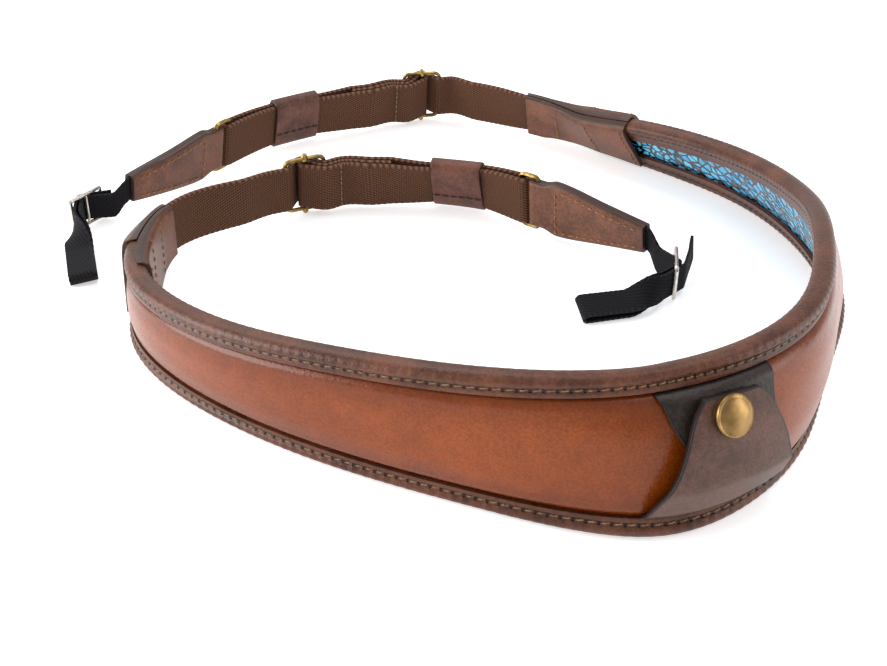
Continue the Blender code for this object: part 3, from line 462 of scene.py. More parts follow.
# %% [markdown]
# Webbing is a flat woven tape. The brown one is a twill: its ribs run slantwise, and at both selvedges the
# weft turns back in small beads. The black lug tape is a plain narrow weave. Ribs and weft come from two
# sine waves, one on a slant, so the pattern stays true to the tape round every bend. The ribs are drawn
# coarser than the real threads, of which there are three or four to a rib.

# %% Webbing
BEAD_PITCH = 2.3


def wave_on(tree, value, period):
    """A wave from 0 to 1 that repeats with a value."""
    turns = add_node(tree, "ShaderNodeMath", {0: value, 1: 2.0 * math.pi / period}, operation="MULTIPLY")
    wave = add_node(tree, "ShaderNodeMath", {0: turns}, operation="SINE")
    return add_node(tree, "ShaderNodeMapRange", {0: wave, 1: -1.0, 2: 1.0})


def make_webbing_finish(name, pale, deep, rib, slant, weft, relief, bead, edge_colour, half_width):
    """Woven tape from its yarn colours and its rib, weft and bead in millimetres."""
    material, tree, shader = new_material(name, Roughness=0.86, IOR=1.45, Specular_IOR_Level=0.25)
    along = add_node(tree, "ShaderNodeAttribute", {}, "Fac", attribute_name="along_mm")
    across = add_node(tree, "ShaderNodeAttribute", {}, "Fac", attribute_name="across_mm")
    slanted = add_node(tree, "ShaderNodeMath", {0: along, 1: slant, 2: across}, operation="MULTIPLY_ADD")
    height = add_node(tree, "ShaderNodeMix", {0: 0.35, 2: wave_on(tree, slanted, rib),
                                              3: wave_on(tree, along, weft)})
    fuzz = surface_noise(tree, 0.0007, 5.0)
    shade = add_node(tree, "ShaderNodeMix", {0: 0.3, 2: height, 3: fuzz})
    shade = add_node(tree, "ShaderNodeMapRange", {0: shade, 1: 0.25, 2: 0.75})
    colour = add_node(tree, "ShaderNodeMix", {0: shade, 6: linear(deep), 7: linear(pale)}, 2,
                      data_type="RGBA")
    side = add_node(tree, "ShaderNodeMath", {0: across}, operation="ABSOLUTE")
    at_edge = add_node(tree, "ShaderNodeMapRange", {0: side, 1: half_width - 1.1, 2: half_width - 0.5})
    turn = wave_on(tree, along, bead)
    beaded = add_node(tree, "ShaderNodeMix", {0: turn, 6: linear(deep), 7: linear(edge_colour)}, 2,
                      data_type="RGBA")
    share = add_node(tree, "ShaderNodeMath", {0: at_edge, 1: 0.75}, operation="MULTIPLY")
    colour = add_node(tree, "ShaderNodeMix", {0: share, 6: colour, 7: beaded}, 2, data_type="RGBA")
    lift = add_node(tree, "ShaderNodeMath", {0: at_edge, 1: turn}, operation="MULTIPLY")
    height = add_node(tree, "ShaderNodeMath", {0: lift, 1: 0.8, 2: height}, operation="MULTIPLY_ADD")
    finish_surface(tree, shader, colour, height, relief)
    return material


BROWN_WEBBING = make_webbing_finish("brown twill webbing", "#62412D", "#341F14", 1.15, 0.45, 0.9, 0.00014,
                                    BEAD_PITCH, "#785340", WEBBING_WIDTH * MM / 2.0)
BLACK_WEBBING = make_webbing_finish("black narrow webbing", "#1A171C", "#09080A", 1.3, 0.35, 1.0, 0.00010,
                                    1.9, "#221F25", LUG_WEBBING_WIDTH * MM / 2.0)
print("weft beads every", BEAD_PITCH, "mm")

# %% [markdown]
# The fittings are cast and bent metal. Brass that has been handled keeps a bright high spot and goes brown
# in the hollows, so its colour and its roughness are mottled together. Nickel plating stays clean and pale.
# The thread is waxed polyester, and each stitch is its own small strand, laid between two holes.

# %% Metal and thread
def make_metal(name, bright, dull, smooth, rough, mottle):
    """Handled metal: bright and smooth in some places, dull and rough in others."""
    material, tree, shader = new_material(name, Metallic=1.0)
    cloud = surface_noise(tree, mottle, 4.0)
    share = add_node(tree, "ShaderNodeMapRange", {0: cloud, 1: 0.36, 2: 0.64})
    colour = add_node(tree, "ShaderNodeMix", {0: share, 6: linear(dull), 7: linear(bright)}, 2,
                      data_type="RGBA")
    worn = add_node(tree, "ShaderNodeMapRange", {0: cloud, 1: 0.36, 2: 0.64, 3: rough, 4: smooth})
    tree.links.new(worn, shader.inputs["Roughness"])
    finish_surface(tree, shader, colour, surface_noise(tree, mottle / 3.0), 0.00004)
    return material


def make_thread(name, pale, deep):
    """Waxed thread, with its twist as a fine mottle."""
    material, tree, shader = new_material(name, Roughness=0.7, IOR=1.5)
    strand = add_node(tree, "ShaderNodeMapRange", {0: surface_noise(tree, 0.0006), 1: 0.35, 2: 0.65})
    colour = add_node(tree, "ShaderNodeMix", {0: strand, 6: linear(deep), 7: linear(pale)}, 2,
                      data_type="RGBA")
    tree.links.new(colour, shader.inputs["Base Color"])
    return material


ANTIQUE_BRASS = make_metal("antiqued cast brass", "#B99C5E", "#6E552C", 0.26, 0.42, 0.004)
AGED_BRASS = make_metal("aged stamped brass", "#97794C", "#6A5232", 0.30, 0.42, 0.006)
NICKEL = make_metal("nickel plated steel", "#DCD5CF", "#B9B0A9", 0.20, 0.30, 0.004)
OLIVE_THREAD = make_thread("olive waxed thread", "#8B7757", "#4E3F2C")
TAN_THREAD = make_thread("tan waxed thread", "#A9753F", "#6A4324")
SEAM_THREAD = make_thread("dark waxed thread", "#38231B", "#1D120E")
BROWN_THREAD = make_thread("brown waxed thread", "#5B4331", "#33241A")
print("three metals and four threads")

# %% Finish the fittings
# The sliders, rings, buckles and the stud are the frame's own solids, so they only get their metal
for finish, nodes in (
    (ANTIQUE_BRASS, ("slider_inner", "slider_outer", "ring_inner", "ring_outer")),
    (AGED_BRASS, ("snap_stud",)),
    (NICKEL, ("lug_buckle_inner", "lug_buckle_outer")),
):
    for node in nodes:
        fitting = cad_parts[node]
        fitting.data.materials.clear()
        fitting.data.materials.append(finish)
print("brass and nickel fittings finished")

# %% [markdown]
# ## The neck pad
# The pad is a tan leather panel over foam, a blue lining behind it, and a brown binding folded over each
# edge. The foam makes one smooth crown between the bindings. Each of the four is a section, drawn across
# the pad, that runs along the route, so the crown falls away where the pad narrows.

# %% Sizes of the pad
PAD_WIDTH = 0.049
PAD_END_WIDTH = 0.028
PAD_CROWN = 0.0046
BORDER_WIDTH = 0.0062
INNER_BORDER_WIDTH = 0.0090
LINING_BULGE = 0.0005
PAD_START = TAIL_LENGTH
# Along the pad: how much of the swell in width is reached. Across it: how high the crown stands.
PAD_SWELL = (
    (0.00, 0.00),
    (0.05, 0.14),
    (0.12, 0.34),
    (0.20, 0.57),
    (0.30, 0.80),
    (0.40, 0.95),
    (0.50, 1.00),
    (0.60, 0.95),
    (0.70, 0.80),
    (0.80, 0.57),
    (0.88, 0.34),
    (0.95, 0.14),
    (1.00, 0.00),
)
CROWN = (
    (0.00, 0.00),
    (0.03, 0.34),
    (0.11, 0.66),
    (0.27, 0.91),
    (0.50, 1.00),
    (0.73, 0.91),
    (0.89, 0.66),
    (0.97, 0.34),
    (1.00, 0.00),
)
PANEL_FOOT = BORDER_WIDTH + GAP
PANEL_TUCK = BORDER_LEATHER * 1.6 + GAP
PANEL_FACE = HALF_OUTER - BORDER_LEATHER - GAP
print("pad", PAD_WIDTH * MM, "mm wide, crown", PAD_CROWN * MM, "mm")

# %% Shapes on the pad
def smooth_table(rows, place, column=1):
    """Values read from a short table along a smooth curve through its rows."""
    curve = smooth_curve([(row[0], 0.0, row[column]) for row in rows], 801)
    return np.interp(place, curve[:, 0], curve[:, 2])


def pad_width(along):
    """Width of the pad at places along the strap."""
    swell = smooth_table(PAD_SWELL, np.clip((along - PAD_START) / PAD_LENGTH, 0.0, 1.0))
    return PAD_END_WIDTH + (PAD_WIDTH - PAD_END_WIDTH) * swell


def crown_height(along):
    """Height of the foam's crown, which falls as the pad narrows."""
    return PAD_CROWN * (pad_width(along) - 2.0 * BORDER_WIDTH) / (PAD_WIDTH - 2.0 * BORDER_WIDTH)


def panel_face(along, up_by):
    """How far out the panel's face lies at a height on the pad."""
    share = (up_by - PANEL_FOOT) / (pad_width(along) - 2.0 * PANEL_FOOT)
    return PANEL_FACE + crown_height(along) * smooth_table(CROWN, np.clip(share, 0.0, 1.0))


def along_pad(name, node, section, step, material):
    """Run a section down the pad; it gives rows of (out, up, inset) for arrays of places."""
    places = np.linspace(PAD_START, PAD_START + PAD_LENGTH, int(PAD_LENGTH / step))
    out_by, up_by, inset = section(places[:, None])
    points = BAND.point(places[:, None], out_by, up_by)
    along = np.broadcast_to(places[:, None] * MM, points.shape[:2])
    lengths = {"along_mm": along, "inset_mm": np.broadcast_to(inset, points.shape[:2]) * MM,
               "rim": np.zeros(points.shape[:2])}
    faces = tube_faces(len(places), points.shape[1])
    return add_piece(name, points.reshape(-1, 3), faces, material, lengths, [node])


print("pad", round(float(pad_width(PAD_START)) * MM, 1), "mm wide at its ends")

# %% Panel and lining
PAD_STEP = 0.0015
PANEL_POINTS = 41
LINING_POINTS = 17


def panel_rows(along):
    """The panel's section: its crowned face, then its flat back."""
    width = pad_width(along)
    share = np.linspace(0.0, 1.0, PANEL_POINTS)[None, :]
    crown_up = PANEL_FOOT + (width - 2.0 * PANEL_FOOT) * share
    crown_out = PANEL_FACE + crown_height(along) * smooth_table(CROWN, share)
    face = np.full_like(width, PANEL_FACE)
    back = np.full_like(width, PANEL_FACE - PANEL_EDGE)
    low = np.full_like(width, PANEL_TUCK)
    high = width - PANEL_TUCK
    out_by = np.hstack((face, crown_out, face, back, back))
    up_by = np.hstack((low, crown_up, high, high, low))
    return out_by, up_by, np.minimum(up_by, width - up_by)


def lining_rows(along):
    """The lining's section: a thin sheet that swells a little on the side of the neck."""
    width = pad_width(along)
    foot = INNER_BORDER_WIDTH + GAP
    share = np.linspace(0.0, 1.0, LINING_POINTS)[None, :]
    swell = LINING_BULGE * np.sin(math.pi * share) ** 0.6
    back = np.zeros_like(width)
    face = np.full_like(width, -LINING_LEATHER)
    low = np.full_like(width, PANEL_TUCK)
    high = width - PANEL_TUCK
    out_by = np.hstack((back, face, face - swell, face, back))
    up_by = np.hstack((low, low, foot + (width - 2.0 * foot) * share, high, high))
    return out_by, up_by, np.minimum(up_by, width - up_by)


PANEL = along_pad("panel_leather", "pad_panel", panel_rows, PAD_STEP, TAN_LEATHER)
LINING = along_pad("lining_leather", "pad_lining", lining_rows, PAD_STEP, PRINTED_LINING)
print("panel", len(PANEL.data.polygons), "faces, lining", len(LINING.data.polygons))

# %% [markdown]
# Each binding is one strip folded over the edge of the pad and sewn through. The fold stands up as a roll,
# the seam pulls it down into a groove, and the flat flange beyond the seam ends in a cut edge. The roll
# puckers a little at every stitch, which the section gets from a wave at the stitch pitch.

# %% Bindings
BORDER_PUFF = 0.0006
STITCH_DIP = 0.0004
PUCKER = 0.00012
BINDING_POINTS = 56


def binding_rows(along):
    """The folded strip's section, as lengths out and in from the pad's edge."""
    outer = HALF_OUTER
    inner = -HALF_INNER
    wall = BORDER_LEATHER
    crest = (STITCH_INSET + wall) * 0.46
    rows = (
        (outer, BORDER_WIDTH),
        (outer, STITCH_INSET + STITCH_DIP * 2.0),
        (outer - STITCH_DIP, STITCH_INSET),
        (outer + BORDER_PUFF * 0.5, STITCH_INSET - wall * 0.7),
        (outer + BORDER_PUFF, crest),
        (outer + BORDER_PUFF * 0.1, wall * 0.75),
        (outer - wall * 0.8, wall * 0.18),
        (0.0, 0.0),
        (inner + wall * 0.8, wall * 0.18),
        (inner - BORDER_PUFF * 0.05, wall * 0.75),
        (inner - BORDER_PUFF / 2.0, crest),
        (inner, STITCH_INSET),
        (inner, INNER_BORDER_WIDTH),
    )
    curve = smooth_curve([(inset, out_by, 0.0) for out_by, inset in rows], BINDING_POINTS)
    pucker = PUCKER * np.cos(2.0 * math.pi * along * MM / STITCH_PITCH)
    near = np.exp(-(((curve[:, 0] - crest) / STITCH_INSET * 2.0) ** 2))[None, :]
    skin_out = curve[None, :, 1] + pucker * near * np.sign(curve[None, :, 1])
    skin_in = np.broadcast_to(curve[None, :, 0], skin_out.shape)
    core = ((inner + wall, INNER_BORDER_WIDTH), (inner + wall, wall * 1.6), (0.0, wall * 1.2),
            (outer - wall, wall * 1.6), (outer - wall, BORDER_WIDTH))
    flat = np.ones_like(along)
    out_by = np.hstack([skin_out] + [flat * row[0] for row in core])
    inset = np.hstack([skin_in] + [flat * row[1] for row in core])
    return out_by, inset


def lower_rows(along):
    """The binding on the table's side."""
    out_by, inset = binding_rows(along)
    return out_by, inset, inset


def upper_rows(along):
    """The binding on the upper edge, measured down from it."""
    out_by, inset = binding_rows(along)
    return out_by, pad_width(along) - inset, inset


PUCKER_STEP = STITCH_PITCH / MM / 4.0
for node, rows in (("lower", lower_rows), ("upper", upper_rows)):
    binding = along_pad(f"{node}_binding", f"border_{node}", rows, PUCKER_STEP, BINDING_LEATHER)
    print(binding.name, len(binding.data.polygons), "faces")

# %% [markdown]
# A saddle stitch shows as a row of short slanted strands, each going down into a hole at both ends. One
# strand is a thin tube, fattest in its middle, with its ends sunk below the leather. A row of them makes
# one mesh, so a seam is a list of places and a direction.

# %% Stitches
STRAND_SHAPE = ((-0.50, 0.45, -0.9), (-0.38, 0.85, 0.1), (-0.15, 1.0, 0.55), (0.15, 1.0, 0.55),
                (0.38, 0.85, 0.1), (0.50, 0.45, -0.9))
STRAND_SIDES = 6
SEAM_LOOK = 0.0005
FACES = (("outer", 1.0), ("inner", -1.0))


def sew(name, places, length, thickness, slant, material, slot):
    """A row of stitches; places are rows of (point, direction along the seam, direction out of it)."""
    points = []
    faces = []
    for point, ahead, out in places:
        aside = out.cross(ahead).normalized()
        lay = (ahead * math.cos(slant) + aside * math.sin(slant)).normalized()
        over = out.cross(lay).normalized()
        start = len(points)
        for share, fat, rise in STRAND_SHAPE:
            centre = point + lay * (share * length) + out * (rise * thickness / 2.0)
            for side in range(STRAND_SIDES):
                angle = 2.0 * math.pi * side / STRAND_SIDES
                radius = fat * thickness / 2.0
                points.append(centre + over * (radius * math.cos(angle)) + out * (radius * math.sin(angle)))
        faces += [tuple(start + i for i in face) for face in tube_faces(len(STRAND_SHAPE), STRAND_SIDES)]
    return add_piece(name, points, faces, material, {}, [])


def seam_on_band(alongs, ups, outs, side):
    """Places for stitches that run along the band, on its outer (1) or its inner (-1) face."""
    here = BAND.point(alongs, outs, ups)
    ahead = BAND.point(alongs + SEAM_LOOK, outs, ups + np.gradient(ups, alongs) * SEAM_LOOK) - here
    _, _, out, _ = BAND.frame(np.asarray(alongs))
    return [(Vector(a), Vector(b).normalized(), Vector(c) * side) for a, b, c in zip(here, ahead, out)]


def seam_across(along, ups, outs, side):
    """Places for stitches that run up the band at one place, on its outer (1) or its inner (-1) face."""
    here = np.full_like(ups, along)
    _, _, out, up = BAND.frame(here)
    return [(Vector(a), Vector(b), Vector(c) * side) for a, b, c in zip(BAND.point(here, outs, ups), up, out)]


print("a stitch has", len(STRAND_SHAPE), "rings of", STRAND_SIDES, "points")

# %% [markdown]
# The bindings are sewn with olive thread on the outer face and brown thread on the inner one. The stitches
# lie in the groove of the binding, at the pitch of the holes that its finish already has, and they stop
# short of the pad's ends, where the tabs cover them.

# %% Binding seams
BINDING_SEAM_START = 0.020
# A stitch is its length and thickness in metres and its slant in radians
BINDING_STITCH = (0.0024, 0.00052, 0.16)
PITCH = STITCH_PITCH / MM
first = math.ceil((PAD_START + BINDING_SEAM_START) / PITCH) + 0.5
last = math.floor((PAD_START + PAD_LENGTH - BINDING_SEAM_START) / PITCH)
seam = np.arange(first, last) * PITCH
for edge, ups in (("lower", np.full_like(seam, STITCH_INSET)), ("upper", pad_width(seam) - STITCH_INSET)):
    for label, face, out_by, thread in (("outer", 1.0, HALF_OUTER - STITCH_DIP, OLIVE_THREAD),
                                        ("inner", -1.0, -HALF_INNER, BROWN_THREAD)):
        row = seam_on_band(seam, ups, np.full_like(seam, out_by), face)
        sew(f"{edge}_binding_thread_{label}", row, *BINDING_STITCH, thread, "brown_leather")
print("each binding has", len(seam), "stitches a side")

# %% [markdown]
# ## The tails
# Webbing, tabs and tips are all flat bands that bend round bars. Their route is worked out as a taut string
# past a row of stops, with a round kept on one side, and then given its thickness, mitred at each bend.

# %% Routes round bars
WRAP_TURN = math.radians(12.0)


def between(last, point, pitch, axis):
    """Points between two ends of a straight run, on a grid along the axis that all runs share."""
    length = math.hypot(point[0] - last[0], point[1] - last[1])
    start = (last[0] * axis[0] + last[1] * axis[1]) / pitch
    end = (point[0] * axis[0] + point[1] * axis[1]) / pitch
    if abs(end - start) * pitch > length / 2.0:
        low = min(start, end) + 0.3
        high = max(start, end) - 0.3
        shares = [(k - start) / (end - start) for k in range(math.ceil(low), math.floor(high) + 1)]
        shares.sort()
    else:
        count = max(1, round(length / pitch))
        shares = [k / count for k in range(1, count)]
    return [(last[0] + (point[0] - last[0]) * t, last[1] + (point[1] - last[1]) * t) for t in shares]


def wrap_route(stops, pitch, axis=(1.0, 0.0)):
    """A taut route past a row of stops (x, y, radius).

    The radius is 0 for a point that the route passes through, above 0 for a round that it keeps on its
    left and below 0 for one that it keeps on its right.
    """
    headings = []
    for (x1, y1, r1), (x2, y2, r2) in zip(stops[:-1], stops[1:]):
        distance = math.hypot(x2 - x1, y2 - y1)
        headings.append(math.atan2(y2 - y1, x2 - x1) - math.asin((r2 - r1) / distance))
    points = []
    for i, (x, y, radius) in enumerate(stops):
        arrive = headings[max(i - 1, 0)]
        leave = headings[min(i, len(headings) - 1)]
        turn = math.remainder(leave - arrive, 2.0 * math.pi)
        if radius > 0.0 and turn < -0.01:
            turn += 2.0 * math.pi
        if radius < 0.0 and turn > 0.01:
            turn -= 2.0 * math.pi
        steps = max(1, int(math.ceil(abs(turn) / WRAP_TURN))) if radius else 0
        for step in range(steps + 1):
            heading = arrive + turn * (step / steps if steps else 0.0)
            point = (x + radius * math.sin(heading), y - radius * math.cos(heading))
            if points and step == 0:
                points += between(points[-1], point, pitch, axis)
            points.append(point)
    return points


def mitred(route, thickness):
    """Left and right sides of a band along a route, at its true thickness round the bends."""
    route = np.array(route)
    step = np.diff(route, axis=0)
    step /= np.linalg.norm(step, axis=1)[:, None]
    before = np.vstack((step[:1], step))
    after = np.vstack((step, step[-1:]))
    middle = before + after
    middle /= np.linalg.norm(middle, axis=1)[:, None]
    widen = 1.0 / np.sum(middle * after, axis=1)
    across = np.column_stack((-middle[:, 1], middle[:, 0])) * (widen * thickness / 2.0)[:, None]
    return route + across, route - across


print("routes are taut between their stops")

# %% Bands on a tail
def closing(share):
    """How far two leathers sewn face to face have closed: 0 in the middle, 1 at their edges."""
    return 1.0 - (1.0 - np.abs(share) ** 4.0) ** 0.25


def tail_band(name, node, side, route, thickness, edges, material, columns=7, bevel=0.0, beads=0.0,
              closed=None):
    """A band along a route on one tail; edges gives its lower and upper edge at places from the tip.

    Two leathers sewn face to face are closed: their edges meet at a distance from the middle, at the upper
    edge alone or at both.
    """
    locate = TAILS[side]
    left, right = mitred(route, thickness)
    run = np.concatenate(([0.0], np.cumsum(np.linalg.norm(np.diff(route, axis=0), axis=1))))
    low, high = edges(np.clip(route[:, 0], 0.0, None))
    centre = (low + high) / 2.0
    half = (high - low) / 2.0
    share = np.linspace(-1.0, 1.0, columns)[None, :]
    scallop = beads * (0.5 + 0.5 * np.sin(2.0 * math.pi * run * MM / BEAD_PITCH))
    across = share * (half - scallop)[:, None]
    ups = centre[:, None] + across
    nip = np.zeros_like(ups)
    if closed is not None:
        meet, low_too = closed
        falls = closing(share) if low_too else closing(share) * (share > 0.0)
        nip = np.sign(route[:, 1:]) * np.clip(np.abs(route[:, 1:]) - meet, 0.0, None) * falls
    front = BAND.point(locate(left[:, :1]), left[:, 1:] - nip, ups)
    back = BAND.point(locate(right[:, :1]), right[:, 1:] - nip[:, ::-1], ups[:, ::-1])
    points = np.concatenate((front, back), axis=1)
    both = np.concatenate((across, across[:, ::-1]), axis=1)
    along = np.broadcast_to(run[:, None], both.shape)
    to_end = np.minimum(along, run[-1] - along)
    to_edge = np.minimum(half[:, None] - np.abs(both), to_end)
    rim = np.where(to_edge < 0.0002, 1.0, 0.0)
    lengths = {"along_mm": along * MM, "across_mm": both * MM, "inset_mm": to_edge * MM, "rim": rim}
    faces = tape_faces(len(route), columns)
    return add_piece(name, points.reshape(-1, 3), faces, material, lengths, [node], bevel)


print("bands keep their thickness round each bend")

# %% [markdown]
# The brown webbing starts at its sewn end, goes through the slider, forward through the keeper, round the
# ring, and all the way back over itself to the slider's bar and on into the tab at the pad.

# %% Sizes of the brown webbing
LAYER_GAP = 0.0008
SEWN_END = 0.035
KEEPER_LENGTH = 0.022
SLIDER_WIRE = 0.0017
SLIDER_REST = 0.0009
BAR_THICKNESS = 0.0018
KNOB_REACH = 0.0013
TIP_LENGTH = 0.047
RING_LENGTH = 0.0096
RING_WIRE = 0.0018
RING_BAR_FAR = TIP_LENGTH + RING_LENGTH - RING_WIRE
TAB_START = TIP_TO_TAB
PAD_END = TAB_START + TAB_WEBBING_END + TAB_MIDDLE
TAIL_CENTRE = KNOB_REACH + SLIDER_WIRE + SLIDER_REST + WEBBING_WIDTH / 2.0
print("the webbing stands", round((TAIL_CENTRE - WEBBING_WIDTH / 2.0) * MM, 1), "mm above the table")

# %% Brown webbing
WEAVE_STEP = 0.00058
FOLD_SLACK = 0.0010


def webbing_route(side):
    """From the sewn end, round the slider's bar, round the ring and back to the end tab."""
    layer = WEBBING_THICKNESS + LAYER_GAP
    over_bar = BAR_THICKNESS / 2.0 + GAP + WEBBING_THICKNESS / 2.0
    over_wire = SLIDER_WIRE / 2.0 + GAP + WEBBING_THICKNESS / 2.0
    over_ring = RING_WIRE / 2.0 + GAP + WEBBING_THICKNESS / 2.0
    reach = (SLIDER_LENGTH - SLIDER_WIRE) / 2.0
    slider = ADJUSTED[side]["slider"]
    keeper_start = ADJUSTED[side]["keeper"]
    keeper_end = keeper_start + KEEPER_LENGTH
    near = slider - reach
    far = slider + reach
    sewn = slider - SEWN_END
    stops = (
        (sewn, 0.0, 0.0),
        (near, 0.0, over_wire + layer),
        (slider, 0.0, -over_bar),
        (near, 0.0, -over_wire - 2.0 * layer),
        (sewn, -layer, 0.0),
        (keeper_end, -layer / 2.0, 0.0),
        (keeper_start, -layer / 2.0, 0.0),
        (RING_BAR_FAR - FOLD_SLACK, 0.0, -over_ring),
        (keeper_start, layer / 2.0, 0.0),
        (keeper_end, layer / 2.0, 0.0),
        (sewn, layer, 0.0),
        (near, 0.0, over_wire),
        (slider, 0.0, -over_bar - layer),
        (far, 0.0, over_wire),
        (TAB_START, 0.0, 0.0),
        (PAD_END - GAP, 0.0, 0.0),
    )
    return np.array(wrap_route(stops, WEAVE_STEP))


LOW_EDGE = TAIL_CENTRE - WEBBING_WIDTH / 2.0
HIGH_EDGE = TAIL_CENTRE + WEBBING_WIDTH / 2.0
for side in TAILS:
    webbing = tail_band(f"{side}_webbing", f"webbing_{side}", side, webbing_route(side), WEBBING_THICKNESS,
                        lambda along: (np.full_like(along, LOW_EDGE), np.full_like(along, HIGH_EDGE)),
                        BROWN_WEBBING, columns=9, beads=0.00009)
    print(webbing.name, len(webbing.data.polygons), "faces")

# %% [markdown]
# The end of the webbing is sewn down beyond the slider. The seam runs across the tape as one row of pale
# stitches, on the face that lies towards the middle of the loop.

# %% Sewn end
SEWN_SEAM = 0.0140
SEWN_STITCH = (0.0021, 0.0005, 0.0)
SEWN_PITCH = 0.0024
for side in TAILS:
    route = webbing_route(side)
    place = ADJUSTED[side]["slider"] - SEWN_SEAM
    level = route[np.abs(route[:, 0] - place) < 2.0 * WEAVE_STEP, 1].min() - WEBBING_THICKNESS / 2.0
    ups = np.arange(LOW_EDGE + SEWN_PITCH / 2.0, HIGH_EDGE - SEWN_PITCH / 3.0, SEWN_PITCH)
    row = seam_across(TAILS[side](place), ups, level, -1.0)
    sew(f"{side}_webbing_thread", row, *SEWN_STITCH, OLIVE_THREAD, "brown_webbing")
print("two sewn ends of", len(ups), "stitches")

# %% [markdown]
# The tips are one leather strip folded round the ring's bar, widest near the ring, with both halves sewn
# together along the edges over the black lug tape, and once across near the ring. The edges close where
# they are sewn, and the cut edges are painted nearly black.

# %% Sizes of the leather tips
TIP_WIDTH = 0.0224
TIP_END_WIDTH = 0.0112
TIP_LEATHER = 0.0015
LUG_WEBBING_THICKNESS = 0.0010
RING_BAR_NEAR = TIP_LENGTH
TIP_SWELL = (
    (0.00, 0.00),
    (0.50, 0.74),
    (0.78, 1.00),
    (0.90, 0.95),
    (1.00, 0.78),
)
LEATHER_STEP = 0.0010
SEAM_INSET = 0.0024
TIP_STITCH = 0.0031
TIP_HEM = 0.0085
# The two halves run side by side up to the pinch, a share of the length, and meet with this gap at the edges
TIP_PINCH = 0.88
MEET = 0.00005
LEATHER_COLUMNS = 25
EDGE_ROUND = 0.0003
EDGE_STITCH = (0.0021, 0.0006, 0.12)
HEM_STITCH = (0.0021, 0.0006, 0.1)
TIP_SEAM_START = 0.004
TIP_SEAM_END = 0.80
print("tips", TIP_LENGTH * MM, "mm long, a stitch every", TIP_STITCH * MM, "mm")

# %% Leather tips
def tip_edges(along):
    """Lower and upper edge of the leather tip."""
    share = np.clip(along / TIP_LENGTH, 0.0, 1.0)
    width = TIP_END_WIDTH + (TIP_WIDTH - TIP_END_WIDTH) * smooth_table(TIP_SWELL, share)
    blend = np.clip((share - 0.84) / 0.10, 0.0, 1.0)
    width = width + (WEBBING_WIDTH - width) * blend
    return TAIL_CENTRE - width / 2.0, TAIL_CENTRE + width / 2.0


def make_tip(side):
    """One folded strip, its two edge seams and the hem seam near the ring, on both faces."""
    beside = LUG_WEBBING_THICKNESS / 2.0 + GAP + TIP_LEATHER / 2.0
    over_ring = RING_WIRE / 2.0 + GAP + TIP_LEATHER / 2.0
    stops = (
        (0.0, beside, 0.0),
        (TIP_LENGTH * TIP_PINCH, beside, 0.0),
        (RING_BAR_NEAR + FOLD_SLACK, 0.0, -over_ring),
        (TIP_LENGTH * TIP_PINCH, -beside, 0.0),
        (0.0, -beside, 0.0),
    )
    route = np.array(wrap_route(stops, LEATHER_STEP))
    tail_band(f"{side}_tip", f"tip_tab_{side}", side, route, TIP_LEATHER, tip_edges, PULL_UP_LEATHER,
              columns=LEATHER_COLUMNS, bevel=EDGE_ROUND,
              closed=(TIP_LEATHER / 2.0 + MEET, True))
    places = np.arange(TIP_SEAM_START, TIP_LENGTH * TIP_SEAM_END, TIP_STITCH)
    low, high = tip_edges(places)
    level = beside + TIP_LEATHER / 2.0
    nip = (beside - TIP_LEATHER / 2.0) * closing(1.0 - 2.0 * SEAM_INSET / (high - low))
    hem = TIP_LENGTH - TIP_HEM
    hem_low, hem_high = tip_edges(hem)
    hem_ups = np.arange(hem_low + SEAM_INSET, hem_high - SEAM_INSET, TIP_STITCH)
    for edge, ups in (("low", low + SEAM_INSET), ("high", high - SEAM_INSET)):
        for label, face in FACES:
            row = seam_on_band(TAILS[side](places), ups, face * (level - nip), face)
            sew(f"{side}_tip_thread_{edge}_{label}", row, *EDGE_STITCH, TAN_THREAD, "brown_leather")
    for label, face in FACES:
        row = seam_across(TAILS[side](hem), hem_ups, face * level, face)
        sew(f"{side}_tip_hem_{label}", row, *HEM_STITCH, TAN_THREAD, "brown_leather")


for side in TAILS:
    make_tip(side)
print("two tips, sewn along both edges")

# %% [markdown]
# The keeper is a short leather sleeve round both layers of webbing. Its section is a rounded rectangle with
# a wall, and the wall's two mouths are rounded over. Its ends meet in a seam on the face that lies towards
# the middle of the loop. The leather is stiff, so the sleeve bends less than the webbing inside it.

# %% Keepers
KEEPER_LEATHER = 0.0014
KEEPER_EASE = 0.0005
KEEPER_STEPS = 24
# The share by which a keeper stays straight where the webbing bends, and the power that squares its section
KEEPER_STIFF = 0.65
KEEPER_ROUND = 5.0
KEEPER_SEAM = 0.0036
KEEPER_STITCH = (KEEPER_SEAM * 0.92, 0.0008, 0.0)
HALF_STACK = WEBBING_THICKNESS + LAYER_GAP / 2.0 + KEEPER_EASE


def keeper_point(side, at, outs, ups):
    """Points on a keeper: partly on the band's bend, partly on the straight line through its middle."""
    locate = TAILS[side]
    middle = ADJUSTED[side]["keeper"] + KEEPER_LENGTH / 2.0
    bent = BAND.point(locate(at), outs, ups)
    _, forward, _, _ = BAND.frame(locate(np.array([middle])))
    straight = BAND.point(locate(np.full_like(at, middle)), outs, ups)
    straight = straight + forward * (locate(at) - locate(middle))[..., None]
    return straight * KEEPER_STIFF + bent * (1.0 - KEEPER_STIFF)


